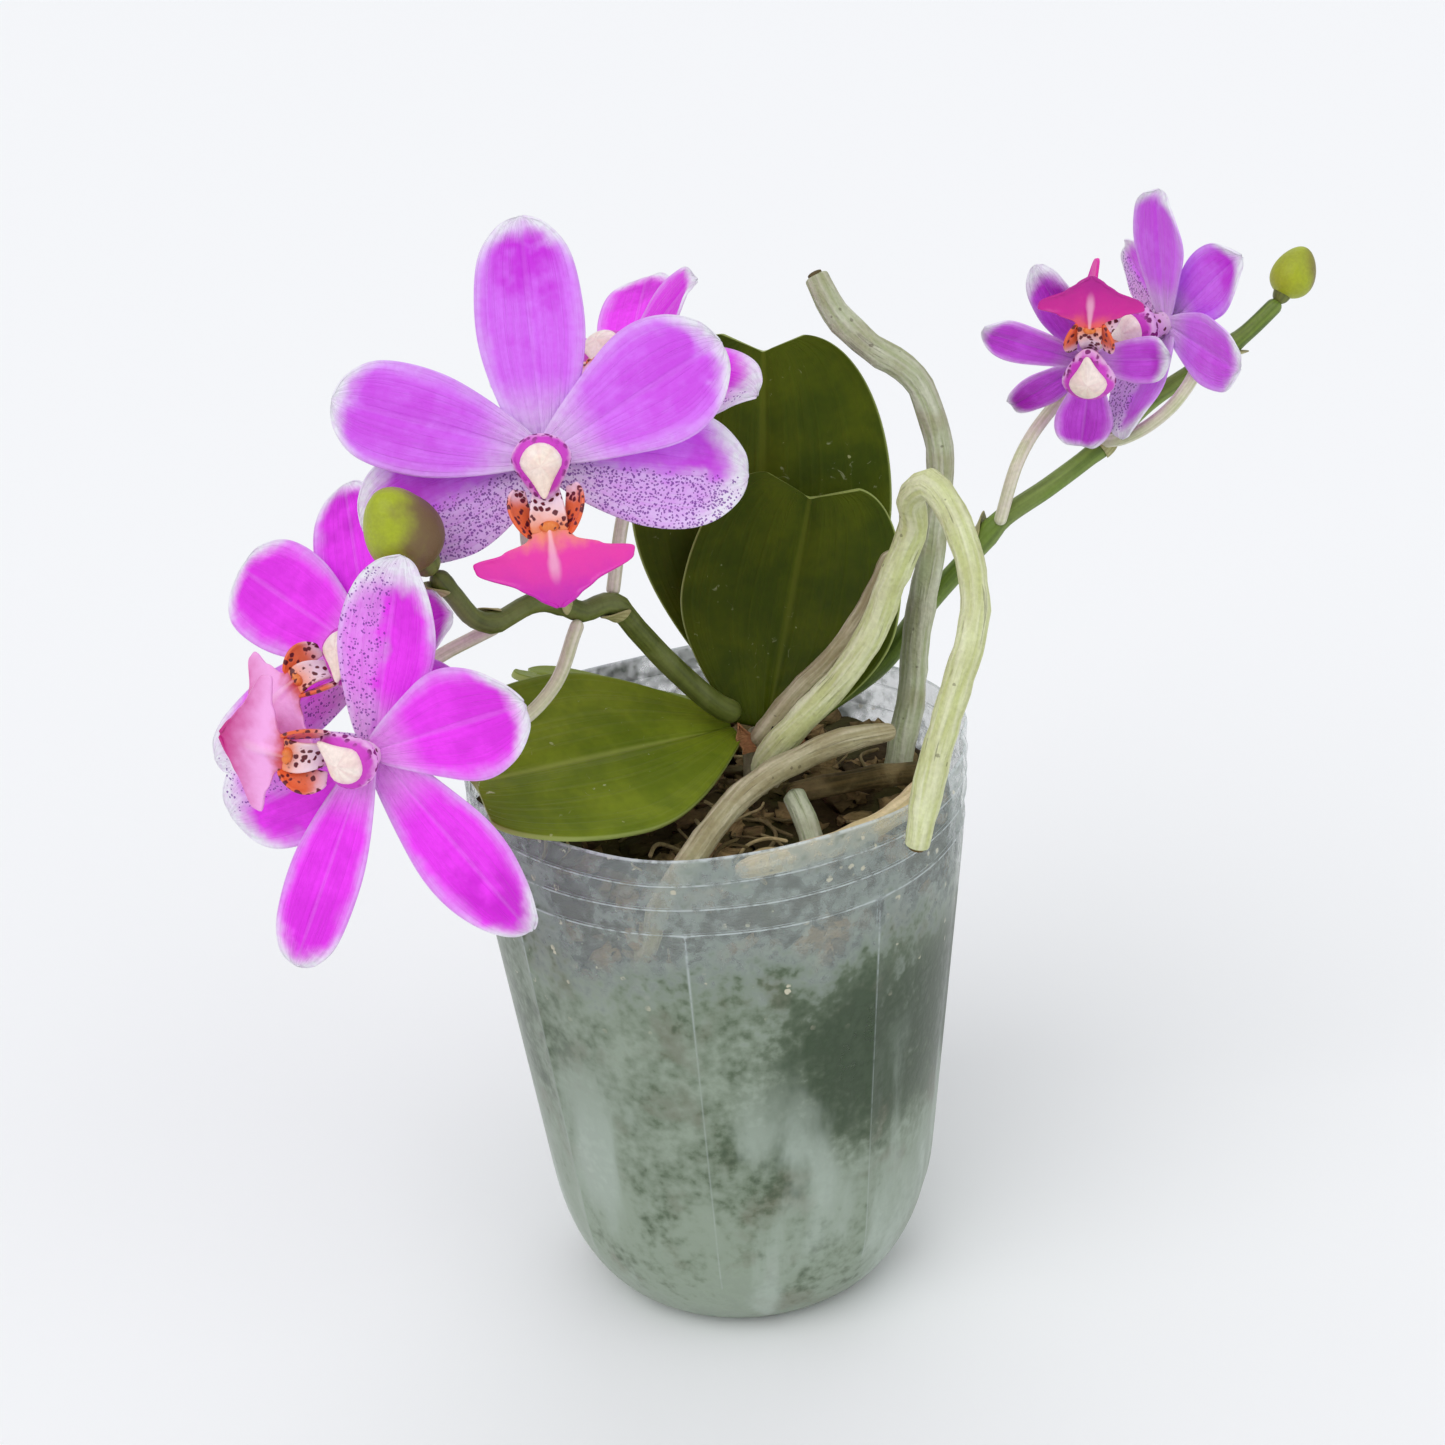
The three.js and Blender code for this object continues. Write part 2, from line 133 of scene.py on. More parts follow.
def curve_through(points: list[Vector], steps: int) -> list[Vector]:
    """Draws a smooth line through given points.

    Args:
        points: The points that the line passes.
        steps: How many equal steps the line is cut into.

    Returns:
        The steps + 1 points of the line, evenly spaced.
    """
    ends = [2 * points[0] - points[1], *points, 2 * points[-1] - points[-2]]
    fine = []
    for before, start, stop, after in zip(ends, ends[1:], ends[2:], ends[3:]):
        t1 = math.sqrt((start - before).length)
        t2 = t1 + math.sqrt((stop - start).length)
        t3 = t2 + math.sqrt((after - stop).length)
        for index in range(20):
            t = t1 + (t2 - t1) * index / 20
            first = before.lerp(start, t / t1)
            second = start.lerp(stop, (t - t1) / (t2 - t1))
            third = stop.lerp(after, (t - t2) / (t3 - t2))
            early = first.lerp(second, t / t2)
            late = second.lerp(third, (t - t1) / (t3 - t1))
            fine.append(early.lerp(late, (t - t1) / (t2 - t1)))
    fine.append(points[-1].copy())
    reached = [0.0]
    for here, there in pairwise(fine):
        reached.append(reached[-1] + (there - here).length)
    line, index = [], 0
    for step in range(steps + 1):
        wanted = reached[-1] * step / steps
        while index < len(fine) - 2 and reached[index + 1] < wanted:
            index += 1
        share = (wanted - reached[index]) / max(1e-9, reached[index + 1] - reached[index])
        line.append(fine[index].lerp(fine[index + 1], min(1.0, share)))
    return line


@dataclass
class Stop:
    """One place along a route, with the directions that a ring is drawn in."""

    place: Vector
    heading: Vector
    across: Vector
    over: Vector


class Route:
    """A smooth line through given points, with rings that don't twist along it."""

    STEPS = 90

    def __init__(self, points: list[Vector]) -> None:
        """Draws the line and carries a ring's direction along it.

        Args:
            points: The points that the line passes, in metres.
        """
        line = curve_through(points, self.STEPS)
        self.length = sum((there - here).length for here, there in pairwise(line))
        self.stops = []
        across = (line[1] - line[0]).orthogonal()
        for index, place in enumerate(line):
            heading = line[min(self.STEPS, index + 1)] - line[max(0, index - 1)]
            heading.normalize()
            across = (across - heading * across.dot(heading)).normalized()
            self.stops.append(Stop(place, heading, across.copy(), heading.cross(across)))

    def at(self, share: float) -> Stop:
        """Gives the stop at a share of the way along, 0 to 1."""
        index = min(self.STEPS - 1, int(share * self.STEPS))
        here, there = self.stops[index], self.stops[index + 1]
        part = share * self.STEPS - index
        return Stop(
            here.place.lerp(there.place, part),
            here.heading.lerp(there.heading, part).normalized(),
            here.across.lerp(there.across, part).normalized(),
            here.over.lerp(there.over, part).normalized(),
        )


def route_through(points: Iterable[Point]) -> Route:
    """Draws a route through points in millimetres."""
    return Route([metres(point) for point in points])


# Modelling


def deselect_all() -> None:
    """Clears the selection, because an operator acts on all that is selected."""
    bpy.ops.object.select_all(action="DESELECT")


def named(name: str) -> bpy.types.Object:
    """Names the primitive that was just added and returns it."""
    piece = bpy.context.active_object
    piece.name = name
    piece.data.name = name
    return piece


@contextmanager
def editing(piece: bpy.types.Object, select: str = "DESELECT") -> Iterator[None]:
    """Opens a piece in edit mode with nothing or everything selected, and closes it again."""
    bpy.context.view_layer.objects.active = piece
    bpy.ops.object.mode_set(mode="EDIT")
    bpy.ops.mesh.select_all(action=select)
    yield
    bpy.ops.object.mode_set(mode="OBJECT")


def finish_with(piece: bpy.types.Object, kind: str, **settings: Any) -> None:
    """Adds a modifier to a piece and applies it at once.

    Args:
        piece: The piece to finish.
        kind: The modifier's type, such as SOLIDIFY.
        settings: Its values by name.
    """
    bpy.context.view_layer.objects.active = piece
    modifier = piece.modifiers.new(kind.lower(), kind)
    for name, value in settings.items():
        setattr(modifier, name, value)
    bpy.ops.object.modifier_apply(modifier=modifier.name)


def soften(piece: bpy.types.Object, levels: int = 1) -> bpy.types.Object:
    """Rounds a piece with a subdivision surface, shades it smooth and returns it."""
    if levels:
        finish_with(piece, "SUBSURF", levels=levels, render_levels=levels)
    piece.data.shade_smooth()
    return piece


def grown_sheet(
    name: str, cells: tuple[int, int], rule: Rule, thickness: float
) -> bpy.types.Object:
    """Grows a thin sheet, such as a petal: a rule shapes a flat grid, which gets a thickness.

    Args:
        name: The piece's name.
        cells: How many cells the grid has across and along.
        rule: Gives the place of a point from its side, -1 to 1, and its reach, 0 to 1.
        thickness: The sheet's thickness in metres.

    Returns:
        The sheet. Its UV map keeps the side as U and the reach as V, and its back wears the
        second material.
    """
    deselect_all()
    bpy.ops.mesh.primitive_grid_add(x_subdivisions=cells[0], y_subdivisions=cells[1], size=2)
    piece = named(name)
    for vertex in piece.data.vertices:
        vertex.co = rule(vertex.co.x, (vertex.co.y + 1) / 2)
    finish_with(piece, "SOLIDIFY", thickness=thickness, offset=0, material_offset=1)
    return soften(piece)


def rolled_tube(
    name: str,
    route: Route,
    radius_at: Callable[[float], float],
    sides: int = 16,
    ends: tuple[float, float] = (1.0, 1.0),
    lumps: float = 0.0,
) -> bpy.types.Object:
    """Rolls a grid into a closed tube with rounded ends, along a route.

    Args:
        name: The piece's name.
        route: The middle of the tube.
        radius_at: Gives the radius in metres from the share of the way along, 0 to 1.
        sides: How many sides the tube has.
        ends: How long each rounded end is, in radii. A small number is a blunt cut.
        lumps: How far the skin swells and sinks, as a share of the radius.

    Returns:
        The tube. Its UV map has the turn as U and the length in centimetres as V.
    """
    length = route.length
    domes = [radius_at(0.0) * ends[0], radius_at(1.0) * ends[1]]
    curve = [1 - math.cos(step * math.pi / 10) for step in range(5)]
    middle = max(4, round(length / (radius_at(0.5) * 0.9)))
    body = length - sum(domes)
    ways = [domes[0] * depth for depth in curve]
    ways += [domes[0] + body * step / middle for step in range(middle + 1)]
    ways += [length - domes[1] * depth for depth in reversed(curve)]
    deselect_all()
    last = len(ways) - 1
    bpy.ops.mesh.primitive_grid_add(x_subdivisions=sides, y_subdivisions=last, size=2)
    piece = named(name)
    for loop in piece.data.uv_layers.active.data:
        loop.uv.y = ways[round(loop.uv.y * last)] / (10 * MM)
    for vertex in piece.data.vertices:
        turn = math.pi * (vertex.co.x + 1)
        way = ways[round((vertex.co.y + 1) / 2 * last)]
        stop = route.at(way / length)
        depths = [min(1.0, way / domes[0]), min(1.0, (length - way) / domes[1])]
        rounding = math.prod(math.sqrt(1 - (1 - depth) ** 2) for depth in depths)
        radius = radius_at(way / length) * rounding
        outward = stop.across * math.cos(turn) + stop.over * math.sin(turn)
        if lumps:
            radius *= 1 + lumps * noise.noise((stop.place + outward * radius) * LUMPS_A_METRE)
        vertex.co = stop.place + outward * radius
    with editing(piece, "SELECT"):
        bpy.ops.mesh.remove_doubles(threshold=1e-6)
        bpy.ops.mesh.normals_make_consistent(inside=False)
    return soften(piece, 0)


def ball_form(name: str, segments: int, rings: int) -> bpy.types.Object:
    """Adds a ball of radius 1, to be pulled into its shape."""
    deselect_all()
    bpy.ops.mesh.primitive_uv_sphere_add(segments=segments, ring_count=rings, radius=1)
    return named(name)


def turned_form(
    name: str, outline: list[tuple[float, float]], sides: int, turn: float
) -> bpy.types.Object:
    """Raises a round form ring by ring, as on a wheel.

    Args:
        name: The piece's name.
        outline: The radius and height of each ring, in metres. A radius of 0 closes the form.
        sides: How many sides a ring has.
        turn: The azimuth of the first side, in radians.

    Returns:
        The form, an open skin unless its outline starts and ends at 0.
    """
    deselect_all()
    radius, height = outline[0]
    opening = {"vertices": sides, "radius": max(radius, MM), "fill_type": "NOTHING"}
    bpy.ops.mesh.primitive_circle_add(**opening, location=(0, 0, height), rotation=(0, 0, turn))
    piece = named(name)
    bpy.ops.object.transform_apply(location=True, rotation=True)
    with editing(piece, "SELECT"):
        for (old, low), (new, high) in pairwise(outline):
            lift = {"value": (0, 0, high - low)}
            bpy.ops.mesh.extrude_region_move(TRANSFORM_OT_translate=lift)
            scale = max(new, MM / 100) / max(old, MM / 100 if old != radius else MM)
            bpy.ops.transform.resize(value=(scale, scale, 1), center_override=(0, 0, high))
        bpy.ops.mesh.select_all(action="SELECT")
        bpy.ops.mesh.remove_doubles(threshold=MM / 40)
    return piece


def joined(name: str, pieces: list[bpy.types.Object]) -> bpy.types.Object:
    """Joins pieces that are one part of the plant, under one name."""
    deselect_all()
    for piece in pieces:
        piece.select_set(True)
    bpy.context.view_layer.objects.active = pieces[0]
    bpy.ops.object.join()
    return named(name)


def box_centre(piece: bpy.types.Object) -> Vector:
    """Finds the middle of a piece's own box."""
    corners = [Vector(corner) for corner in piece.bound_box]
    return (corners[0] + corners[6]) / 2


def node_centre(node: str) -> Vector:
    """Finds the middle of a node's box in the frame."""
    low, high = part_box(node)
    return (low + high) / 2


def seat_on(piece: bpy.types.Object, node: str) -> None:
    """Moves a piece's mesh so that its box is centred where the node's is."""
    piece.data.update()
    piece.data.transform(Matrix.Translation(node_centre(node) - box_centre(piece)))


def dress(piece: bpy.types.Object, finishes: list["Finish"]) -> None:
    """Puts finishes in a piece's material slots, in order."""
    piece.data.materials.clear()
    for finish in finishes:
        piece.data.materials.append(finish.material())


def place_piece(piece: bpy.types.Object, slot: str, nodes: list[str]) -> None:
    """Says what a piece rides on, which nodes it stands for and where its finish comes from.

    Args:
        piece: The finished piece.
        slot: The record's material slot.
        nodes: The nodes that the piece stands for, none for a small extra.
    """
    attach(piece, BODY)
    if nodes:
        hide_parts(*nodes)
    LOG.info("%s: %d faces, slot %s", piece.name, len(piece.data.polygons), slot)


def scattered(
    name: str, models: list[bpy.types.Object], places: list[tuple[Matrix, float]]
) -> bpy.types.Object:
    """Copies small models to many places and keeps them as one piece.

    Args:
        name: The piece's name.
        models: The models, which are used in turn and then removed.
        places: Where each copy goes, and its shade from 0 to 1.

    Returns:
        The piece, with each copy's shade in the "shade" attribute.
    """
    gathered = bmesh.new()
    shade = gathered.verts.layers.float.new("shade")
    for index, (place, tint) in enumerate(places):
        start = len(gathered.verts)
        gathered.from_mesh(models[index % len(models)].data)
        gathered.verts.ensure_lookup_table()
        copied = gathered.verts[start:]
        bmesh.ops.transform(gathered, matrix=place, verts=copied)
        for vertex in copied:
            vertex[shade] = tint
    mesh = bpy.data.meshes.new(name)
    gathered.to_mesh(mesh)
    gathered.free()
    for model in models:
        bpy.data.objects.remove(model)
    piece = bpy.data.objects.new(name, mesh)
    bpy.context.scene.collection.objects.link(piece)
    mesh.shade_smooth()
    return piece


# Finishes


class Board:
    """A node tree, with short calls for the nodes that the finishes are made of."""

    def __init__(self, tree: bpy.types.NodeTree) -> None:
        """Starts on an empty tree."""
        self.tree = tree
        tree.nodes.clear()

    def put(
        self, kind: str, inputs: dict[Any, Any] | None = None, **settings: Any
    ) -> bpy.types.Node:
        """Adds a node.

        Args:
            kind: The node's type.
            inputs: A value or another node's socket for each named input.
            settings: The node's own settings.

        Returns:
            The node.
        """
        node = self.tree.nodes.new(kind)
        for name, value in settings.items():
            setattr(node, name, value)
        for name, value in (inputs or {}).items():
            self.feed(node.inputs[name], value)
        return node

    def feed(self, socket: bpy.types.NodeSocket, value: Any) -> None:
        """Links a socket into another, or sets its value."""
        if isinstance(value, bpy.types.NodeSocket):
            self.tree.links.new(value, socket)
        else:
            socket.default_value = value

    def maths(self, operation: str, *values: Any) -> bpy.types.NodeSocket:
        """Works out a sum of sockets and numbers."""
        return self.put("ShaderNodeMath", dict(enumerate(values)), operation=operation).outputs[0]

    def times(self, *values: Any) -> bpy.types.NodeSocket:
        """Multiplies two values or more."""
        return reduce(partial(self.maths, "MULTIPLY"), values)

    def scaled(self, value: Any, by: Any, plus: Any) -> bpy.types.NodeSocket:
        """Multiplies a value and adds to it."""
        return self.maths("MULTIPLY_ADD", value, by, plus)

    def band(self, value: Any, low: Any, high: Any) -> bpy.types.NodeSocket:
        """Rises softly from 0 to 1 as the value goes from low to high."""
        inputs = {"Value": value, "From Min": low, "From Max": high}
        node = self.put("ShaderNodeMapRange", inputs, interpolation_type="SMOOTHSTEP")
        return node.outputs["Result"]

    def fade(self, value: Any, low: Any, high: Any) -> bpy.types.NodeSocket:
        """Falls softly from 1 to 0 as the value goes from low to high."""
        return self.maths("SUBTRACT", 1.0, self.band(value, low, high))

    def blend(
        self, factor: Any, first: Any, second: Any, mode: str = "MIX"
    ) -> bpy.types.NodeSocket:
        """Mixes two colours."""
        node = self.put("ShaderNodeMix", data_type="RGBA", blend_type=mode)
        for index, value in ((0, factor), (6, first), (7, second)):
            self.feed(node.inputs[index], value)
        return node.outputs[2]

    def cloud(
        self, vector: Any, scale: Any, detail: float = 3.0, twist: float = 0.0
    ) -> bpy.types.NodeSocket:
        """Gives a soft random pattern, about 0.25 to 0.75."""
        inputs = {"Vector": vector, "Scale": scale, "Detail": detail, "Distortion": twist}
        return self.put("ShaderNodeTexNoise", inputs).outputs["Fac"]

    def apart(self, vector: Any) -> bpy.types.bpy_prop_collection:
        """Splits a vector into X, Y and Z."""
        return self.put("ShaderNodeSeparateXYZ", {"Vector": vector}).outputs

    def together(self, x: Any, y: Any, z: Any) -> bpy.types.NodeSocket:
        """Makes a vector of three values."""
        return self.put("ShaderNodeCombineXYZ", {"X": x, "Y": y, "Z": z}).outputs[0]

    def stretched(self, vector: Any, along: float) -> bpy.types.NodeSocket:
        """Squeezes or stretches a place along Z, so that a pattern runs upright or flat."""
        inputs = {"Vector": vector, "Scale": (1.0, 1.0, along)}
        return self.put("ShaderNodeMapping", inputs).outputs[0]

    def attribute(self, name: str) -> bpy.types.NodeSocket:
        """Reads a number that the piece carries at each point."""
        return self.put("ShaderNodeAttribute", attribute_name=name).outputs["Fac"]

    def effect(self, tree: bpy.types.NodeTree, **inputs: Any) -> bpy.types.bpy_prop_collection:
        """Places a shared effect, with a value or a socket for each of its inputs."""
        node = self.tree.nodes.new("ShaderNodeGroup")
        node.node_tree = tree
        for name, value in inputs.items():
            self.feed(node.inputs[name], value)
        return node.outputs

    def mottled(
        self, place: Any, scale: float, amount: float, colour: Any, patch: Any
    ) -> bpy.types.bpy_prop_collection:
        """Breaks a colour up with cloudy patches, and gives the Colour and its Grain."""
        inputs = {"Scale": scale, "Amount": amount, "Colour": colour, "Patch": patch}
        return self.effect(mottle_effect(), Vector=place, **inputs)

    def streaks(self, uv: Any, around: float, along: float) -> bpy.types.NodeSocket:
        """Draws long streaks on a tube."""
        return self.effect(streak_effect(), UV=uv, Around=around, Along=along)["Streaks"]

    def specks(self, place: Any, scale: float, size: float, share: Any) -> bpy.types.NodeSocket:
        """Scatters specks, of which only a share is kept."""
        inputs = {"Vector": place, "Scale": scale, "Size": size, "Share": share}
        return self.effect(speck_effect(), **inputs)["Specks"]


KINDS = {"value": "NodeSocketFloat", "colour": "NodeSocketColor", "vector": "NodeSocketVector"}
Sockets = bpy.types.bpy_prop_collection
Outlets = dict[str, bpy.types.NodeSocket]


def shared_effect(
    name: str,
    inputs: dict[str, str],
    outputs: dict[str, str],
    draw: Callable[[Board, Sockets], Outlets],
) -> bpy.types.NodeTree:
    """Builds a shader node group the first time that it is asked for.

    Args:
        name: The effect's name.
        inputs: Its inputs, each a value, a colour or a vector.
        outputs: Its outputs, likewise.
        draw: Lays out the nodes and gives the socket for each output.

    Returns:
        The group's node tree.
    """
    tree = bpy.data.node_groups.get(name)
    if tree is None:
        tree = bpy.data.node_groups.new(name, "ShaderNodeTree")
        board = Board(tree)
        for label, kind in inputs.items():
            tree.interface.new_socket(label, in_out="INPUT", socket_type=KINDS[kind])
        for label, kind in outputs.items():
            tree.interface.new_socket(label, in_out="OUTPUT", socket_type=KINDS[kind])
        entry = board.put("NodeGroupInput").outputs
        board.put("NodeGroupOutput", draw(board, entry))
    return tree


def mottle_effect() -> bpy.types.NodeTree:
    """Breaks a colour up with a cloudy second colour and a fine grain."""

    def draw(board: Board, entry: Sockets) -> Outlets:
        """Lays out the clouds and the grain."""
        cloud = board.cloud(entry["Vector"], entry["Scale"], 4.0, 0.4)
        patch = board.times(board.band(cloud, 0.38, 0.66), entry["Amount"])
        grain = board.cloud(entry["Vector"], board.times(entry["Scale"], 9.0), 2.0)
        patched = board.blend(patch, entry["Colour"], entry["Patch"])
        shade = board.scaled(grain, 0.36, 0.82)
        shaded = board.blend(1.0, patched, board.together(shade, shade, shade), "MULTIPLY")
        return {"Colour": shaded, "Grain": grain}

    inputs = {"Vector": "vector", "Scale": "value", "Amount": "value"}
    inputs |= {"Colour": "colour", "Patch": "colour"}
    return shared_effect("mottle", inputs, {"Colour": "colour", "Grain": "value"}, draw)


def streak_effect() -> bpy.types.NodeTree:
    """Draws streaks along a tube from its UV map, with no seam round it."""

    def draw(board: Board, entry: Sockets) -> Outlets:
        """Wraps the turn into a circle and stretches a cloud along it."""
        across = board.apart(entry["UV"])
        turn = board.times(across["X"], math.tau)
        x = board.times(board.maths("COSINE", turn), entry["Around"])
        y = board.times(board.maths("SINE", turn), entry["Around"])
        z = board.times(across["Y"], entry["Along"])
        cloud = board.cloud(board.together(x, y, z), 1.0, 3.0, 0.3)
        return {"Streaks": board.band(cloud, 0.3, 0.7)}

    inputs = {"UV": "vector", "Around": "value", "Along": "value"}
    return shared_effect("streaks", inputs, {"Streaks": "value"}, draw)


def speck_effect() -> bpy.types.NodeTree:
    """Scatters small ragged specks."""

    def draw(board: Board, entry: Sockets) -> Outlets:
        """Cuts dots out of random cells, and drops some of them."""
        spot = entry["Vector"]
        wobble = board.put("ShaderNodeTexNoise", {"Vector": spot, "Scale": 900.0}).outputs["Color"]
        amount = {0: wobble, "Scale": 0.7 * MM}
        ragged = board.put("ShaderNodeVectorMath", amount, operation="SCALE")
        moved = board.put("ShaderNodeVectorMath", {0: spot, 1: ragged.outputs[0]}, operation="ADD")
        where = {"Vector": moved.outputs[0], "Scale": entry["Scale"]}
        cells = board.put("ShaderNodeTexVoronoi", where)
        inner = board.times(entry["Size"], 0.72)
        dots = board.fade(cells.outputs["Distance"], inner, entry["Size"])
        lot = board.apart(cells.outputs["Color"])["X"]
        kept = board.maths("LESS_THAN", lot, entry["Share"])
        return {"Specks": board.times(dots, kept)}

    inputs = {"Vector": "vector", "Scale": "value", "Size": "value", "Share": "value"}
    return shared_effect("specks", inputs, {"Specks": "value"}, draw)


@dataclass(frozen=True)
class Finish:
    """A finish that is made once and worn by every piece that needs it."""

    name: str
    roughness: float = 0.5
    sheen: float = 0.0
    specular: float = 0.35

    def material(self) -> bpy.types.Material:
        """Makes the material, or gives the one already made."""
        made = bpy.data.materials.get(self.name)
        if made is None:
            made = bpy.data.materials.new(self.name)
            made.use_nodes = True
            board = Board(made.node_tree)
            settings = {"Roughness": self.roughness, "Sheen Weight": self.sheen}
            settings["Specular IOR Level"] = self.specular
            shader = board.put("ShaderNodeBsdfPrincipled", settings)
            board.put("ShaderNodeOutputMaterial", {"Surface": shader.outputs["BSDF"]})
            for name, value in self.paint(board).items():
                board.feed(shader.inputs[name], value)
        return made

    def paint(self, board: Board) -> dict[str, Any]:
        """Lays out the pattern. Each kind of finish has its own.

        Args:
            board: The material's node tree.

        Returns:
            What feeds each of the shader's inputs.
        """
        raise NotImplementedError

    def bump(self, board: Board, height: Any, depth: float) -> bpy.types.NodeSocket:
        """Raises a surface by a height of 0 to 1 times a depth in millimetres."""
        inputs = {"Height": height, "Distance": depth * MM, "Strength": 1.0}
        return board.put("ShaderNodeBump", inputs).outputs["Normal"]

    def places(self, board: Board) -> tuple[bpy.types.NodeSocket, bpy.types.NodeSocket]:
        """Gives the Object and UV coordinates."""
        outputs = board.put("ShaderNodeTexCoord").outputs
        return outputs["Object"], outputs["UV"]


@dataclass(frozen=True)
class PetalFinish(Finish):
    """Velvety petal skin: a deep heart, a softer body, pale edges and dark specks on one half."""

    roughness: float = 0.55
    sheen: float = 0.12
    specular: float = 0.25
    heart: tuple = srgb(196, 40, 226)
    body: tuple = srgb(214, 118, 250)
    edge: tuple = srgb(232, 196, 250)
    pale: tuple = srgb(238, 236, 246)
    under: tuple = srgb(228, 200, 246)
    speck: tuple = srgb(112, 34, 150)
    heart_at: tuple[float, float] = (0.5, 0.85)
    heart_weight: float = 0.8
    base_end: float = 0.2
    base_weight: float = 0.55
    tip_start: float = 0.86
    edge_weight: float = 0.7
    speckled_half: float = 0.0
    speck_weight: float = 0.0
    speck_scale: float = 2250.0
    midrib: float = 0.2

    def paint(self, board: Board) -> dict[str, Any]:
        """Shades from the heart out to the edges, then lays veins and specks over it."""
        place, uv = self.places(board)
        across = board.apart(uv)
        side = board.scaled(across["X"], 2.0, -1.0)
        reach = across["Y"]
        out = board.maths("POWER", board.maths("ABSOLUTE", side), 2.4)
        cloud = board.maths("SUBTRACT", board.cloud(place, 240.0, 3.0), 0.5)
        colour, veins = self.skin(board, side, reach, out, cloud)
        grain = board.band(board.cloud(place, 900.0, 4.0), 0.4, 0.66)
        colour = board.blend(board.times(grain, 0.16), colour, self.heart)
        height = board.maths("ADD", board.cloud(place, 1500.0, 1.0), veins)
        if self.speck_weight:
            colour = board.blend(self.specks(board, place, side, reach), colour, self.speck)
        return {"Base Color": colour, "Normal": self.bump(board, height, 0.07)}

    def skin(self, board: Board, side: Any, reach: Any, out: Any, cloud: Any) -> tuple[Any, Any]:
        """Paints the heart, the pale edges, tip and base, and the veins."""
        low, high = self.heart_at
        rise = board.band(board.maths("ADD", reach, cloud), low - 0.25, low + 0.15)
        fall = board.band(board.maths("ADD", reach, cloud), high - 0.12, high + 0.14)
        heart = board.times(rise, board.maths("SUBTRACT", 1.0, fall))
        inner = board.fade(out, 0.1, 0.75)
        heart = board.times(heart, inner, self.heart_weight)
        colour = board.blend(heart, self.body, self.heart)
        wander = board.scaled(cloud, 0.7, out)
        rim = board.times(board.band(wander, 0.3, 1.05), self.edge_weight)
        colour = board.blend(rim, colour, self.edge)
        if self.speck_weight:
            lower = board.band(board.scaled(side, self.speckled_half, cloud), -0.1, 0.3)
            lower = board.times(lower, 0.85 * self.speck_weight)
            colour = board.blend(lower, colour, self.under)
        lines = board.together(board.times(side, 13.0), board.times(reach, 1.6), 0.0)
        veins = board.band(board.cloud(lines, 1.0, 3.0, 0.6), 0.42, 0.62)
        colour = board.blend(board.times(veins, 0.2), colour, self.heart)
        rib = board.fade(board.maths("ABSOLUTE", side), 0.01, 0.09)
        colour = board.blend(board.times(rib, self.midrib), colour, self.edge)
        towards = board.scaled(out, 0.2, board.scaled(cloud, 0.25, reach))
        tip = board.band(towards, self.tip_start - 0.14, self.tip_start + 0.12)
        foot = board.times(board.fade(reach, self.base_end * 0.25, self.base_end), self.base_weight)
        return board.blend(board.maths("MAXIMUM", tip, foot), colour, self.pale), veins

    def specks(self, board: Board, place: Any, side: Any, reach: Any) -> Any:
        """Scatters dark specks over one half, thinning out towards the tip."""
        half = board.band(board.times(side, self.speckled_half), 0.0, 0.16)
        share = board.times(half, board.fade(reach, 0.66, 0.86), self.speck_weight, 0.95)
        return board.times(board.specks(place, self.speck_scale, 0.46, share), 0.85)


@dataclass(frozen=True)
class HoodFinish(Finish):
    """The skin round the cap: a magenta crown that pales and breaks into dark specks below."""

    crown: tuple = srgb(208, 62, 198)
    side: tuple = srgb(238, 192, 234)
    speck: tuple = srgb(128, 20, 112)

    def paint(self, board: Board) -> dict[str, Any]:
        """Rings the front with the crown colour and specks the sides."""
        place, uv = self.places(board)
        ring = board.scaled(board.cloud(place, 500.0, 3.0), 0.3, board.apart(uv)["Y"])
        colour = board.blend(board.band(ring, 0.66, 0.84), self.side, self.crown)
        specks = board.specks(place, 950.0, 0.5, 0.8)
        below = board.fade(ring, 0.74, 0.9)
        colour = board.blend(board.times(specks, below), colour, self.speck)
        normal = self.bump(board, board.cloud(place, 1200.0, 2.0), 0.08)
        return {"Base Color": colour, "Normal": normal}


@dataclass(frozen=True)
class LipFinish(Finish):
    """Waxy lip skin that runs from one colour to another, with blotches and a pale keel."""

    roughness: float = 0.34
    specular: float = 0.45
    start: tuple = srgb(246, 130, 84)
    middle: tuple = srgb(240, 66, 140)
    finish: tuple = srgb(204, 32, 180)
    blotch: tuple = srgb(96, 12, 30)
    blotch_weight: float = 0.0
    keel_weight: float = 0.7
    turn_at: float = 0.35

    def paint(self, board: Board) -> dict[str, Any]:
        """Runs the colours along the lip, then adds the keel and the blotches."""
        place, uv = self.places(board)
        across = board.apart(uv)
        side = board.maths("ABSOLUTE", board.scaled(across["X"], 2.0, -1.0))
        cloud = board.maths("SUBTRACT", board.cloud(place, 420.0, 3.0), 0.5)
        reach = board.scaled(cloud, 0.35, across["Y"])
        colour = board.blend(board.band(reach, 0.0, self.turn_at), self.start, self.middle)
        colour = board.blend(board.band(reach, self.turn_at, 1.0), colour, self.finish)
        keel = board.fade(side, 0.02, 0.1)
        short = board.fade(across["Y"], 0.45, 0.75)
        keel = board.times(keel, short, self.keel_weight)
        colour = board.blend(keel, colour, srgb(255, 222, 232))
        blotches = board.specks(place, 1000.0, 0.5, self.blotch_weight)
        colour = board.blend(blotches, colour, self.blotch)
        normal = self.bump(board, board.cloud(place, 1300.0, 2.0), 0.1)
        return {"Base Color": colour, "Normal": normal}


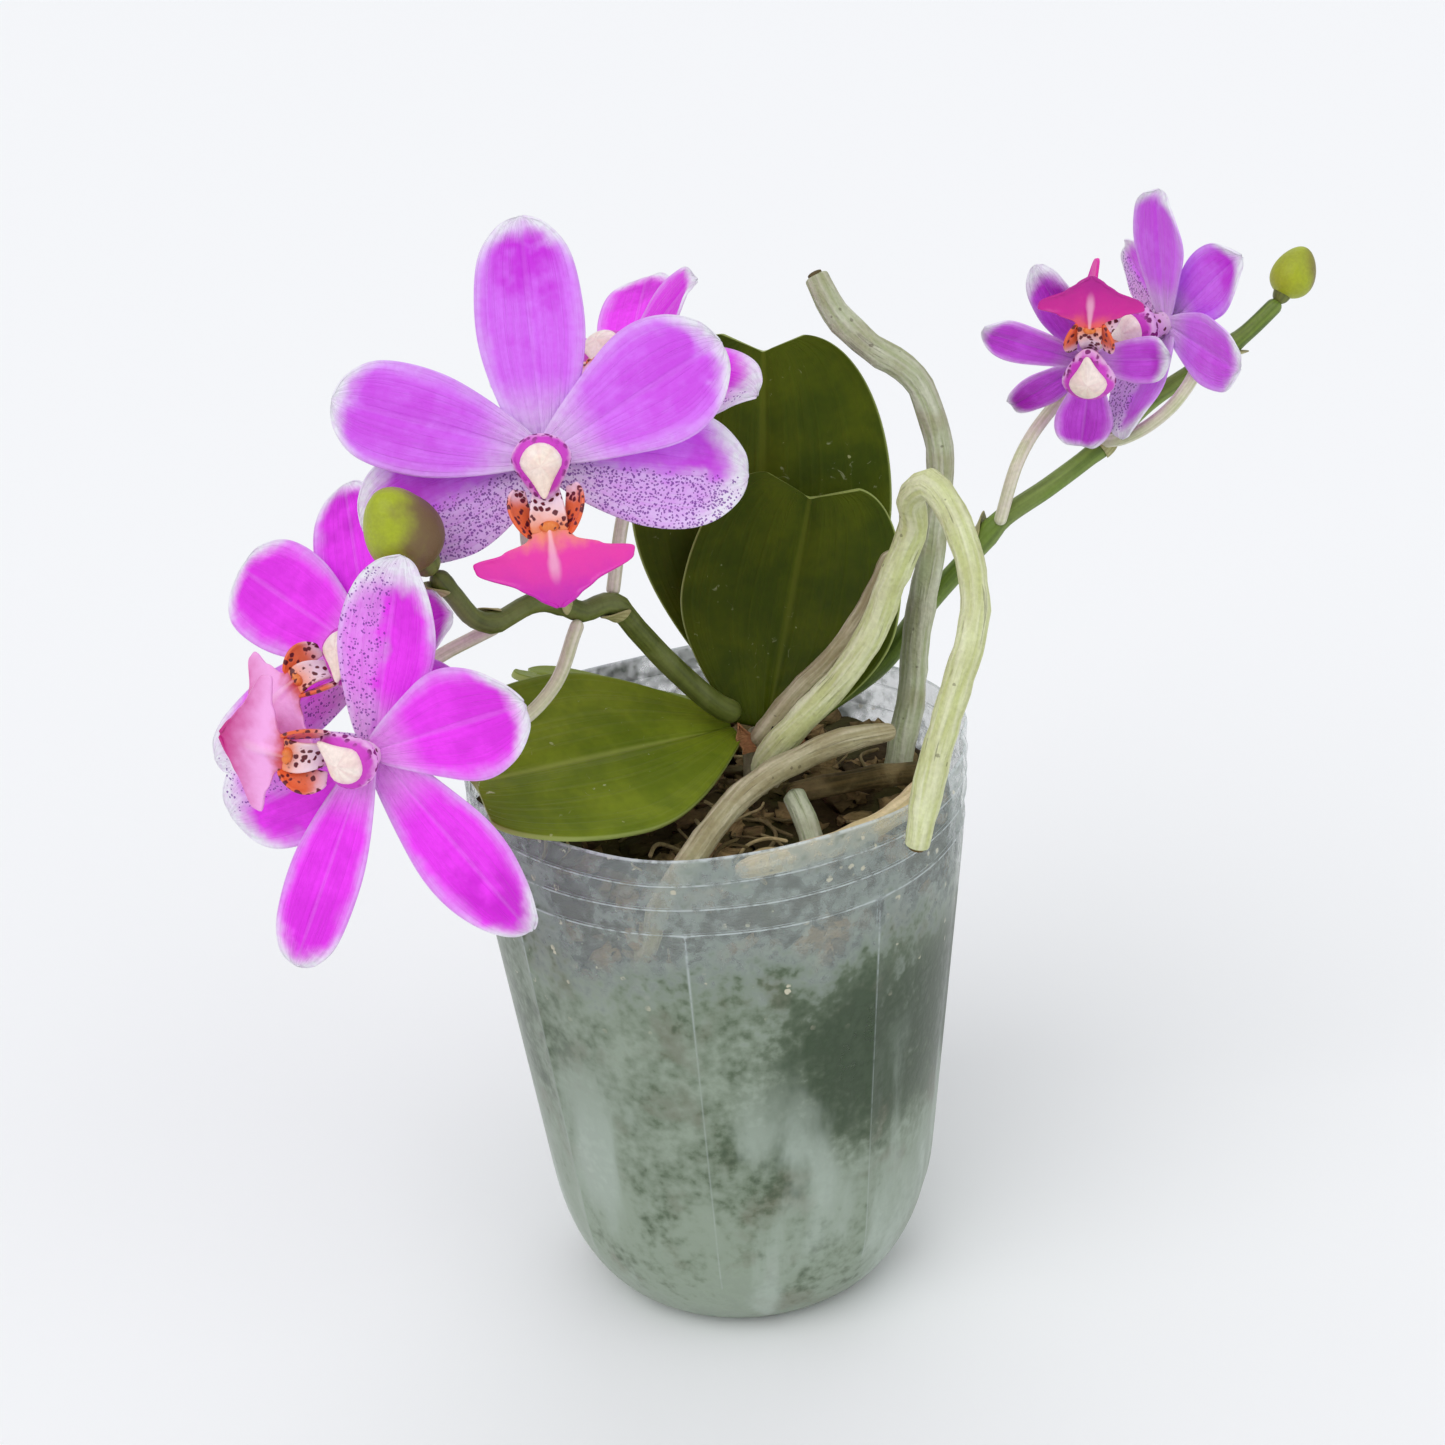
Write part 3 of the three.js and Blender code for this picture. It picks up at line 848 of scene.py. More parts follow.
@dataclass(frozen=True)
class LeafFinish(Finish):
    """Thick waxy leaf skin with a midrib, faint long veins and a thin pale edge."""

    roughness: float = 0.5
    specular: float = 0.12
    blade: tuple = srgb(72, 84, 2)
    cloud: tuple = srgb(50, 66, 1)
    rib: tuple = srgb(96, 106, 24)
    edge: tuple = srgb(158, 172, 96)
    scars: float = 0.3

    def paint(self, board: Board) -> dict[str, Any]:
        """Mottles the blade, then draws its rib, veins, edge and scars."""
        place, uv = self.places(board)
        across = board.apart(uv)
        side = board.scaled(across["X"], 2.0, -1.0)
        wide = board.maths("ABSOLUTE", side)
        skin = board.mottled(place, 85.0, 0.8, self.blade, self.cloud)
        lines = board.together(board.times(side, 18.0), board.times(across["Y"], 1.2), 0.0)
        veins = board.band(board.cloud(lines, 1.0, 2.0, 0.2), 0.45, 0.7)
        colour = board.blend(board.times(veins, 0.1), skin["Colour"], self.rib)
        rib = board.fade(wide, 0.008, 0.06)
        colour = board.blend(board.times(rib, 0.5), colour, self.rib)
        rim = board.band(board.maths("MAXIMUM", wide, across["Y"]), 0.975, 0.995)
        colour = board.blend(board.times(rim, 0.85), colour, self.edge)
        scratch = board.band(board.cloud(place, 330.0, 5.0, 2.5), 0.66, 0.74)
        where = board.band(board.cloud(place, 70.0, 1.0), 0.5, 0.6)
        scar = board.times(scratch, where, self.scars)
        colour = board.blend(scar, colour, srgb(196, 204, 160))
        dust = board.specks(place, 260.0, 0.1, 0.25)
        colour = board.blend(board.times(dust, 0.5), colour, srgb(190, 196, 140))
        height = board.scaled(skin["Grain"], 0.6, veins)
        gloss = board.scaled(skin["Grain"], 0.25, self.roughness - 0.12)
        return {"Base Color": colour, "Roughness": gloss, "Normal": self.bump(board, height, 0.08)}


@dataclass(frozen=True)
class RootFinish(Finish):
    """Papery root skin: silvery streaks over green, with brown patches and fine dark cracks."""

    roughness: float = 0.8
    specular: float = 0.2
    silver: tuple = srgb(202, 206, 182)
    green: tuple = srgb(166, 176, 136)
    brown: tuple = srgb(140, 124, 86)
    brown_weight: float = 0.3
    crack_weight: float = 0.35

    def paint(self, board: Board) -> dict[str, Any]:
        """Streaks the skin lengthwise, then lays patches, cracks and dots over it."""
        place, uv = self.places(board)
        streaks = board.streaks(uv, 2.6, 0.9)
        colour = board.blend(streaks, self.green, self.silver)
        skin = board.mottled(place, 150.0, self.brown_weight, colour, self.brown)
        fine = board.streaks(uv, 6.0, 0.7)
        crack = board.fade(fine, 0.0, 0.12)
        where = board.band(board.cloud(place, 110.0, 2.0), 0.5, 0.62)
        crack = board.times(crack, where, self.crack_weight)
        colour = board.blend(crack, skin["Colour"], srgb(70, 62, 38))
        dots = board.specks(place, 620.0, 0.24, 0.1)
        colour = board.blend(board.times(dots, 0.5), colour, srgb(66, 54, 34))
        height = board.maths("SUBTRACT", board.scaled(streaks, 0.8, skin["Grain"]), crack)
        return {"Base Color": colour, "Normal": self.bump(board, height, 0.22)}


@dataclass(frozen=True)
class StalkFinish(Finish):
    """Smooth fleshy stem skin with faint long streaks, in two colours."""

    roughness: float = 0.42
    main: tuple = srgb(96, 112, 46)
    shade: tuple = srgb(70, 84, 34)
    fleck: tuple = srgb(140, 150, 90)
    along: float = 0.6

    def paint(self, board: Board) -> dict[str, Any]:
        """Streaks the skin and breaks it up with small pale flecks."""
        place, uv = self.places(board)
        streaks = board.streaks(uv, 2.0, self.along)
        colour = board.blend(streaks, self.main, self.shade)
        skin = board.mottled(place, 170.0, 0.3, colour, self.fleck)
        height = board.scaled(streaks, 0.5, skin["Grain"])
        return {"Base Color": skin["Colour"], "Normal": self.bump(board, height, 0.08)}


@dataclass(frozen=True)
class BudFinish(Finish):
    """Bud skin: yellow-green, flushed brown down one flank."""

    roughness: float = 0.45
    fresh: tuple = srgb(164, 176, 34)
    flush: tuple = srgb(116, 92, 62)
    line: float = 0.0
    spread: float = 5.0

    def paint(self, board: Board) -> dict[str, Any]:
        """Flushes the side beyond a line in X, with a ragged border."""
        place, _ = self.places(board)
        skin = board.mottled(place, 210.0, 0.4, self.fresh, srgb(146, 150, 60))
        spot = board.apart(place)
        ragged = board.scaled(board.cloud(place, 200.0, 4.0), 9 * MM, spot["X"])
        start = (self.line + 4.5) * MM
        flush = board.band(ragged, start - self.spread * MM / 2, start + self.spread * MM / 2)
        colour = board.blend(flush, skin["Colour"], self.flush)
        return {"Base Color": colour, "Normal": self.bump(board, skin["Grain"], 0.1)}


@dataclass(frozen=True)
class FilmFinish(Finish):
    """Clear pot film: hazy, streaked with lime, grown over with algae below the rim, with painted
    highlights on its moulded lines.
    """

    roughness: float = 0.3
    specular: float = 0.5
    haze: tuple = srgb(186, 198, 194)
    algae: tuple = srgb(52, 72, 44)
    growth: tuple = srgb(98, 114, 90)
    bloom: tuple = srgb(160, 175, 156)
    pale: tuple = srgb(184, 198, 186)
    # The seam colour is a painted highlight on the ribs and rim rings.
    seam: tuple = srgb(222, 232, 234)

    def paint(self, board: Board) -> dict[str, Any]:
        """Lays the growth over the haze, then the crumbs and the painted highlights on the moulded
        lines.
        """
        place, _ = self.places(board)
        spot = board.apart(place)
        cloud = board.cloud(place, 42.0, 6.0, 0.1)
        fine = board.cloud(place, 520.0, 5.0)
        mottle = self.mottle(board, place, cloud, fine)
        low = board.fade(spot["Z"], 64 * MM, 96 * MM)
        grown = board.band(board.scaled(low, 0.6, mottle), 0.42, 0.92)
        colour = board.blend(grown, self.haze, self.growth_colour(board, place, spot, mottle))
        flecks = board.specks(place, 520.0, 0.34, 0.09)
        high = board.band(spot["Z"], 66 * MM, 78 * MM)
        crumbs = board.times(flecks, board.times(high, board.band(fine, 0.44, 0.56)))
        colour = board.blend(board.times(crumbs, 0.8), colour, srgb(222, 216, 190))
        # Painted highlight: the ribs and rim rings are whitened, broken up along their length, and
        # made more opaque.
        mark = board.attribute("seam")
        highlight_breakup = board.scaled(board.band(fine, 0.34, 0.54), 0.5, 0.5)
        line = board.times(board.band(mark, 0.4, 0.95), highlight_breakup)
        colour = board.blend(board.times(line, 0.75), colour, self.seam)
        cover = board.scaled(grown, 0.53, 0.21)
        cover = board.scaled(board.band(mottle, 0.35, 0.65), 0.2, cover)
        marks = board.times(board.maths("MAXIMUM", line, crumbs), 0.7)
        normal = self.bump(board, board.scaled(fine, 0.5, cloud), 0.2)
        alpha = board.maths("MAXIMUM", cover, marks)
        return {"Base Color": colour, "Alpha": alpha, "Normal": normal}

    def mottle(self, board: Board, place: Any, cloud: Any, fine: Any) -> Any:
        """Adds three sizes of cloud into one grainy pattern, about 0.3 to 0.7."""
        middle = board.cloud(place, 150.0, 6.0, 0.2)
        both = board.maths("ADD", board.times(cloud, 0.9), board.times(middle, 0.5))
        return board.maths("SUBTRACT", board.scaled(fine, 0.7, both), 0.55)

    def growth_colour(self, board: Board, place: Any, spot: Any, mottle: Any) -> Any:
        """Darkens the growth in one damp patch and leaves wiped, paler bands below."""
        east = board.band(spot["X"], -8 * MM, 24 * MM)
        rise = board.band(spot["Z"], 28 * MM, 60 * MM)
        fall = board.fade(spot["Z"], 66 * MM, 84 * MM)
        damp = board.times(east, rise, fall)
        foot = board.fade(spot["Z"], 10 * MM, 52 * MM)
        depth = board.scaled(damp, 0.42, board.scaled(foot, -0.12, mottle))
        colour = board.blend(board.band(depth, 0.28, 0.68), self.bloom, self.growth)
        brown = board.band(board.cloud(place, 90.0, 4.0, 0.2), 0.54, 0.7)
        colour = board.blend(board.times(brown, 0.4), colour, srgb(112, 104, 84))
        colour = board.blend(board.band(depth, 0.52, 0.86), colour, self.algae)
        slow = board.stretched(place, 0.3)
        wiped = board.band(board.cloud(slow, 62.0, 5.0, 0.3), 0.5, 0.64)
        wiped = board.times(wiped, board.fade(spot["Z"], 40 * MM, 70 * MM), 0.7)
        return board.blend(wiped, colour, self.pale)


@dataclass(frozen=True)
class BarkFinish(Finish):
    """Rough bark, with a shade of its own on each chip."""

    roughness: float = 0.9
    specular: float = 0.15
    dark: tuple = srgb(66, 53, 33)
    light: tuple = srgb(168, 140, 98)
    moss: tuple = srgb(84, 92, 44)
    moss_weight: float = 0.35

    def paint(self, board: Board) -> dict[str, Any]:
        """Shades each chip between dark and light, then lays moss and grain over it."""
        place, _ = self.places(board)
        tint = board.attribute("shade")
        colour = board.blend(tint, self.dark, self.light)
        skin = board.mottled(place, 130.0, self.moss_weight, colour, self.moss)
        stretched = board.stretched(place, 4.0)
        layers = board.cloud(stretched, 500.0, 4.0, 1.0)
        shade = board.scaled(layers, 1.1, 0.45)
        colour = board.blend(1.0, skin["Colour"], board.together(shade, shade, shade), "MULTIPLY")
        return {"Base Color": colour, "Normal": self.bump(board, layers, 0.5)}


@dataclass(frozen=True)
class FloorFinish(Finish):
    """A plain pale studio floor."""

    roughness: float = 0.9
    specular: float = 0.1

    def paint(self, board: Board) -> dict[str, Any]:
        """Keeps the floor plain."""
        return {"Base Color": srgb(246, 247, 249)}


# Pot and filling


@dataclass
class Pot:
    """The clear moulded pot, turned ring by ring, with ribs, rim rings and drain holes."""

    height: float = 106
    rim: float = 45
    taper: float = 33
    corner_width: float = 11
    corner_height: float = 22
    wall: float = 0.7
    columns: int = 96
    rib_count: int = 8
    rib_turn: float = -99
    rib_proud: float = 0.5
    rings: tuple[float, ...] = (101, 96, 91)
    ring_proud: float = 0.55
    hole_circle: tuple[float, float] = (12, 18)
    hole_count: int = 6
    hole_width: float = 12
    rim_wave: float = 1.1
    wall_steps: int = 14
    foot_ring: float = 20
    base_rise: float = 0.6
    base_radii: tuple[float, ...] = (19, 18, 15, 12, 6, 0)

    def wall_radius(self, height: float) -> float:
        """Gives the outer radius at a height, both in millimetres."""
        straight = self.taper + (self.rim - self.taper) * height / self.height
        drop = max(0.0, 1 - height / self.corner_height)
        return straight - self.corner_width * (1 - math.sqrt(1 - drop**2))

    def outline(self) -> list[tuple[float, float]]:
        """Lists the rings of the skin from the rim down to the middle of the base, in metres."""
        heights = [self.height, self.height - 1.2, self.height - 2.6]
        for ring in self.rings:
            heights += [ring + 1.3, ring + 0.5, ring, ring - 0.5, ring - 1.3]
        low, fall = heights[-1], heights[-1] - self.corner_height
        heights += [low - step * fall / self.wall_steps for step in range(1, self.wall_steps + 1)]
        bends = [math.sin(step * math.pi / 18) for step in range(1, 9)]
        heights += [self.corner_height * (1 - bend) for bend in bends]
        skin = []
        for height in heights:
            proud = self.ring_proud if height in self.rings else 0
            skin.append((self.wall_radius(height) + proud, height))
        skin += [(self.wall_radius(0) - 0.5, 0.1), (self.foot_ring, 0)]
        skin += [(radius, self.base_rise) for radius in self.base_radii]
        return [(radius * MM, height * MM) for radius, height in skin]

    def build(self) -> None:
        """Raises the skin, moulds its ribs and rim, cuts the holes and gives it a wall."""
        piece = turned_form("clear_pot", self.outline(), self.columns, math.radians(self.rib_turn))
        self.mould(piece)
        self.cut_holes(piece)
        with editing(piece, "SELECT"):
            bpy.ops.mesh.normals_make_consistent(inside=False)
        finish_with(piece, "SOLIDIFY", thickness=self.wall * MM, offset=-1)
        soften(piece)
        dress(piece, [FilmFinish("hazy_film")])
        place_piece(piece, "clear_film", ["pot"])

    def mould(self, piece: bpy.types.Object) -> None:
        """Draws the ribs and the dented rim, and marks every moulded line in "seam" with the
        strength of its painted highlight.
        """
        pitch = self.columns // self.rib_count
        seam = piece.data.attributes.new("seam", "FLOAT", "POINT")
        for index, vertex in enumerate(piece.data.vertices):
            height, radius = vertex.co.z / MM, vertex.co.xy.length / MM
            if radius < self.foot_ring:
                continue
            turn = math.atan2(vertex.co.y, vertex.co.x)
            column = round((math.degrees(turn) - self.rib_turn) / 360 * self.columns) % pitch
            ribbed = self.corner_height * 0.5 < height < self.rings[-1] - 0.4
            if ribbed and column in (1, pitch - 1):
                near = 1 if column == 1 else -1
                turn -= near * (math.tau / self.columns - 0.8 / radius)
            if ribbed and column == 0:
                radius += self.rib_proud
                # Painted highlight on the rib, stronger towards the top.
                seam.data[index].value = 0.6 + 0.2 * smooth(60, 95, height)
            # The rim and the rim rings get the full painted highlight.
            if height > self.height - 1 or any(abs(height - ring) < 0.1 for ring in self.rings):
                seam.data[index].value = 1.0
            vertex.co = self.dented(turn, radius, height) * MM

    def dented(self, turn: float, radius: float, height: float) -> Vector:
        """Lets the film wave towards the rim, more at the back, and dents it at the right.

        Args:
            turn: The azimuth of a point of the film, in radians.
            radius: Its distance from the middle, in millimetres.
            height: Its height, in millimetres.

        Returns:
            Where the point goes, in millimetres.
        """
        loose = smooth(self.height - 24, self.height, height)
        wave = math.sin(3 * turn + 0.6) * 0.6 + math.sin(7 * turn + 2) * 0.3
        wave += math.sin(13 * turn) * 0.16
        back = 1 + 1.2 * smooth(-0.2, 0.9, math.sin(turn - 0.5))
        radius += loose * self.rim_wave * (wave * back * 0.6 - 0.5)
        height += loose**4 * self.rim_wave * 0.8 * (math.sin(5 * turn + 1) * back * 0.5 - 0.4)
        dent = math.exp(-((turn - math.radians(-6)) / 0.05) ** 2)
        dent *= smooth(self.height - 9, self.height, height)
        place = Vector((math.cos(turn), math.sin(turn), 0)) * (radius - 1.6 * dent)
        return place + Vector((0, 0, height - 1.2 * dent))

    def cut_holes(self, piece: bpy.types.Object) -> None:
        """Deletes the faces of the base where the drain holes are."""
        low, high = self.hole_circle
        with editing(piece):
            skin = bmesh.from_edit_mesh(piece.data)
            for face in skin.faces:
                centre = face.calc_center_median() / MM
                turn = math.degrees(math.atan2(centre.y, centre.x)) % (360 / self.hole_count)
                in_ring = low < centre.xy.length < high and centre.z < 2
                face.select = in_ring and abs(turn - 180 / self.hole_count) < self.hole_width
            bpy.ops.mesh.delete(type="FACE")


@dataclass
class Filling:
    """The bark, moss and crumbs: a packed heap with loose chips on it and at the wall."""

    pot: Pot
    top: float = 94
    hollow: float = 7
    chip_count: int = 210
    side_count: int = 260
    strand_count: int = 70
    seed: int = 7
    chip_reach: float = 39
    strand_reach: float = 37
    side_low: float = 24

    def build(self) -> None:
        """Builds the heap, strews the chips and strands, and joins them."""
        draw = random.Random(self.seed)
        heap = self.heap()
        chips = scattered("bark_chips", self.chip_models(), self.chip_places(draw))
        strands = scattered("moss_strands", self.strand_models(), self.strand_places(draw))
        finishes = [BarkFinish("packed_bark"), BarkFinish("bark_chip"), self.moss_finish()]
        for piece, finish in zip((heap, chips, strands), finishes):
            dress(piece, [finish])
        whole = joined("bark_and_moss_fill", [heap, chips, strands])
        place_piece(whole, "bark", ["bark_and_moss"])

    def moss_finish(self) -> "BarkFinish":
        """Gives the dry moss its straw colours."""
        colours = {"dark": srgb(92, 78, 48), "light": srgb(198, 178, 132)}
        return BarkFinish("dry_moss", **colours, moss_weight=0.1)

    def surface(self, x: float, y: float) -> float:
        """Gives the height of the heap at a place, in millimetres."""
        reach = math.hypot(x, y) / self.pot.rim
        hollow = self.hollow * math.exp(-(((x - 20) / 12) ** 2 + ((y + 14) / 9) ** 2))
        rough = 2.2 * noise.noise(Vector((x, y, 0)) * 0.16)
        rough += 1.4 * noise.noise(Vector((x, y, 5)) * 0.4)
        return self.top + 1.5 * (1 - reach) + rough - hollow

    def heap(self) -> bpy.types.Object:
        """Turns the closed heap, just clear of the film, and roughens its top."""
        gap = self.pot.wall + 0.9
        steps = [2, 6, 11, 16, 22, 34, 46, 58, 70, 80, 88, self.top]
        outline = [(0, 2)] + [(self.pot.wall_radius(height) - gap, height) for height in steps]
        outline += [(radius, self.top) for radius in (38, 34, 30, 26, 22, 18, 14, 10, 6, 3, 0)]
        metric = [(radius * MM, height * MM) for radius, height in outline]
        piece = turned_form("heap", metric, 72, 0)
        for vertex in piece.data.vertices:
            x, y, z = vertex.co / MM
            if z > self.top - 1:
                vertex.co.z = self.surface(x, y) * MM
            elif z > 3:
                swell = 1 - 0.035 * noise.noise(Vector((x, y, z)) * 0.12) - 0.02
                vertex.co.xy *= min(1.0, swell)
        with editing(piece, "SELECT"):
            bpy.ops.mesh.normals_make_consistent(inside=False)
        return soften(piece)

    def chip_models(self) -> list[bpy.types.Object]:
        """Breaks four bark chips out of blocks."""
        models = []
        for index, size in enumerate([(6, 3.4, 1.5), (8, 3, 1.8), (4.4, 3.6, 2), (5, 2.4, 1.2)]):
            deselect_all()
            bpy.ops.mesh.primitive_cube_add(size=1)
            chip = named(f"chip_{index}")
            chip.scale = [length * MM for length in size]
            bpy.ops.object.transform_apply(scale=True)
            with editing(chip, "SELECT"):
                bpy.ops.mesh.subdivide(number_cuts=2)
                bpy.ops.transform.vertex_random(offset=0.8 * MM, uniform=0.7, seed=index + 3)
            models.append(chip)
        return models

    def chip_places(self, draw: random.Random) -> list[tuple[Matrix, float]]:
        """Lays chips on the heap and stands more against the film."""
        places = []
        for _ in range(self.chip_count):
            turn, reach = draw.uniform(0, math.tau), self.chip_reach * math.sqrt(draw.random())
            x, y = on_circle(turn, reach)
            tilt = turned(draw.uniform(0, math.tau), "Z") @ turned(draw.gauss(0, 0.4), "X")
            size = Matrix.Scale(draw.uniform(0.6, 1.15), 4)
            place = Matrix.Translation(metres((x, y, self.surface(x, y) + 0.3)))
            places.append((place @ tilt @ size, draw.random()))
        for _ in range(self.side_count):
            turn, height = draw.uniform(0, math.tau), draw.uniform(self.side_low, self.top - 3)
            reach = self.pot.wall_radius(height) - self.pot.wall - 1.9
            outward = turned(turn, "Z") @ turned(math.pi / 2, "Y")
            tilt = turned(draw.uniform(0, math.pi), "Z") @ turned(draw.gauss(0, 0.12), "X")
            size = Matrix.Diagonal((draw.uniform(0.8, 1.3), draw.uniform(0.8, 1.3), 0.6, 1))
            place = Matrix.Translation(metres((*on_circle(turn, reach), height)))
            places.append((place @ outward @ tilt @ size, 0.25 + 0.75 * draw.random()))
        return places

    def strand_models(self) -> list[bpy.types.Object]:
        """Rolls two thin curled moss strands."""
        models = []
        for index, bend in enumerate((1.5, -2.2)):
            route = route_through([(-5, 0, 0), (-1.5, bend, 0.6), (2, bend / 2, 1), (5, -bend, 0)])
            models.append(rolled_tube(f"strand_{index}", route, lambda share: 0.35 * MM, sides=5))
        return models

    def strand_places(self, draw: random.Random) -> list[tuple[Matrix, float]]:
        """Lets the strands fall on the heap."""
        places = []
        for _ in range(self.strand_count):
            turn, reach = draw.uniform(0, math.tau), self.strand_reach * math.sqrt(draw.random())
            x, y = on_circle(turn, reach)
            tilt = turned(draw.uniform(0, math.tau), "Z") @ turned(draw.gauss(0, 0.3), "Y")
            place = Matrix.Translation(metres((x, y, self.surface(x, y) + 1.2)))
            places.append((place @ tilt @ Matrix.Scale(draw.uniform(0.5, 1.1), 4), draw.random()))
        return places


# Roots, stem and spikes


@dataclass
class Root:
    """One root: a lumpy tube that narrows where it is buried."""

    node: str
    radius: float
    points: list[Point]
    finish: RootFinish
    slot: str = "root"
    ends: tuple[float, float] = (1.0, 1.0)
    tip_colour: tuple | None = None

    def radius_at(self, share: float) -> float:
        """Gives the radius in metres at a share of the way along."""
        narrowing = 1 - 0.3 * smooth(0.08, 0, share) - 0.22 * smooth(0.94, 1, share)
        return self.radius * MM * narrowing

    def build(self) -> None:
        """Rolls the root along its route and gives its cut or growing tip a darker end."""
        route = route_through(self.points)
        piece = rolled_tube(f"{self.node}_skin", route, self.radius_at, 20, self.ends, lumps=0.16)
        dress(piece, [self.finish])
        if self.tip_colour:
            piece = joined(f"{self.node}_skin", [piece, self.tip(route)])
        place_piece(piece, self.slot, [self.node])

    def tip(self, route: Route) -> bpy.types.Object:
        """Makes the dried ring and core at the far end."""
        stop = route.at(1.0)
        start = stop.place - stop.heading * 0.9 * MM
        core = Route([start, stop.place, stop.place + stop.heading * 0.5 * MM])
        thin = self.radius * 0.52 * MM
        piece = rolled_tube(f"{self.node}_tip", core, lambda share: thin, 14, (0.3, 0.3))
        colours = {"silver": self.tip_colour, "green": self.tip_colour}
        dress(piece, [RootFinish(f"{self.node}_tip_skin", **colours)])
        return piece


SILVER = RootFinish("silver_root")
PALE_GREEN = RootFinish(
    "pale_green_root",
    silver=srgb(226, 230, 190),
    green=srgb(198, 206, 142),
    brown_weight=0.15,
    crack_weight=0.45,
)
TAN = RootFinish(
    "tan_root", silver=srgb(200, 194, 162), green=srgb(160, 154, 116), brown_weight=0.4
)
BROWN = RootFinish(
    "aged_root", silver=srgb(96, 80, 46), green=srgb(62, 54, 28), brown_weight=0.7
)
PEACH = RootFinish(
    "peach_root", silver=srgb(232, 214, 172), green=srgb(206, 188, 140), brown_weight=0.15
)

ROOTS = [
    Root(
        "tall_air_root",
        2.5,
        [(31, 1, 84), (32.5, 2.5, 97), (35.5, 7, 108), (37.5, 12, 118), (41, 15, 134),
         (43, 18, 150), (39.3, 20, 162), (31, 22, 168.5), (26.2, 24, 174), (23.3, 26, 180)],
        SILVER,
        ends=(1.0, 0.35),
        tip_colour=srgb(70, 58, 34),
    ),
    Root(
        "arching_air_root",
        2.5,
        [(8.3, -1.4, 101), (8.2, -5.2, 101.8), (9, -9.6, 105.8), (12, -10.2, 109.4),
         (16.6, -9.6, 113.8), (22.4, -9.2, 119.4), (27.8, -8, 126.4), (31.6, -7, 135.3),
         (35.8, -6.2, 144.6), (35.3, -8.4, 150.6), (38.3, -11.5, 153.4), (41.3, -16, 149.5),
         (43.2, -24, 142), (42.3, -30, 135), (38, -35, 125), (34.6, -37.5, 115),
         (31.4, -38.6, 101.5)],
        PALE_GREEN,
        ends=(1.0, 0.3),
        tip_colour=srgb(96, 78, 44),
    ),
    Root(
        "upper_root",
        2.1,
        [(7.2, -4.6, 106.8), (8.8, -5.6, 108.6), (15.5, -4.9, 116), (20.4, -4.6, 120.2),
         (25, -3.4, 125), (29.6, -1.6, 131.4), (33.2, -0.6, 138.4)],
        TAN,
    ),
    Root(
        "crossing_root",
        2.2,
        [(31, -12.4, 110.6), (22, -14, 110), (13, -17.4, 108.2), (5, -22.4, 106),
         (-0.6, -29, 103.4), (-4.8, -36.6, 101.6), (-9.6, -39, 95.6), (-12.6, -37.2, 87.4),
         (-14.9, -35.3, 79), (-19, -30.7, 59), (-23.6, -23.4, 34)],
        TAN,
    ),
    Root(
        "surface_root",
        2,
        [(12, -9, 98.6), (20, -9.5, 99.8), (28, -7.5, 99.8), (38, -5.6, 99)],
        BROWN,
        "old_root",
    ),
    Root(
        "rim_root",
        2,
        [(2, -38.5, 99.6), (11, -37, 100.6), (20, -33, 101), (28, -26.5, 101.2),
         (34, -18, 101.2), (37.6, -9.6, 101.4)],
        PEACH,
    ),
    Root("side_root", 2, [(12.6, -16.5, 102.8), (14.5, -20, 99), (16, -23, 93)], SILVER),
]


@dataclass
class Spike:
    """A flower spike: a green stem that swells at its joints, with a dry bract at each."""

    node: str
    points: list[Point]
    joints: list[float]
    finish: StalkFinish
    radius: float = 2.1

    def radius_at(self, share: float) -> float:
        """Gives the radius in metres, fuller at the joints."""
        swelling = sum(math.exp(-(((share - joint) / 0.018) ** 2)) for joint in self.joints)
        return self.radius * MM * (1 - 0.3 * share) * (1 + 0.2 * swelling)

    def build(self) -> None:
        """Rolls the stem and wraps the bracts round it."""
        route = route_through(self.points)
        stem = rolled_tube(f"{self.node}_stem", route, self.radius_at, 18)
        dress(stem, [self.finish])
        bracts = [self.bract(route, joint, index) for index, joint in enumerate(self.joints)]
        place_piece(joined(f"{self.node}_stem", [stem, *bracts]), "spike", [self.node])

    def bract(self, route: Route, joint: float, index: int) -> bpy.types.Object:
        """Grows one small scale that clasps the stem at a joint."""
        stop = route.at(joint)
        radius = self.radius_at(joint)

        def rule(side: float, reach: float) -> Vector:
            """Wraps the scale half round the stem and lets its point lift away."""
            turn = side * 1.5 * (1 - reach**1.5) + index * 1.9
            lift = radius * 1.1 + 0.9 * MM * reach**2
            outward = stop.across * math.cos(turn) + stop.over * math.sin(turn)
            return stop.place + outward * lift + stop.heading * (reach - 0.3) * 4 * MM

        scale = grown_sheet(f"{self.node}_bract_{index}", (8, 6), rule, 0.3 * MM)
        colours = {"main": srgb(188, 184, 132), "shade": srgb(150, 140, 92)}
        dress(scale, [StalkFinish("bract", **colours)] * 2)
        return scale


SPIKES = [
    Spike(
        "left_flower_spike",
        [(5, -3.9, 111.8), (1.6, -5, 114), (-6.3, -8.5, 124), (-10.7, -12, 131.4),
         (-15.1, -16, 138.6), (-19.6, -19, 138.6), (-23, -21, 141.2), (-27.1, -24, 142.6),
         (-32.9, -28, 141.4), (-35.8, -30, 143), (-38.5, -33, 148.6), (-40.7, -35, 152.8)],
        [0.46, 0.62, 0.79, 0.97],
        StalkFinish("left_spike", main=srgb(98, 110, 44), shade=srgb(72, 82, 32)),
    ),
    Spike(
        "right_flower_spike",
        [(13.5, 8, 102.6), (21, 14, 105), (31.1, 18, 109.9), (40.7, 20, 120.7), (49, 20, 129.7),
         (53.6, 20, 135), (62.9, 22.5, 139.9), (73.2, 25.5, 146), (81.9, 29, 152.2),
         (93.1, 32, 157.9), (100, 33.8, 162), (106, 35, 167)],
        [0.44, 0.66, 0.9],
        StalkFinish("right_spike", main=srgb(116, 142, 52), shade=srgb(84, 108, 36)),
    ),
]


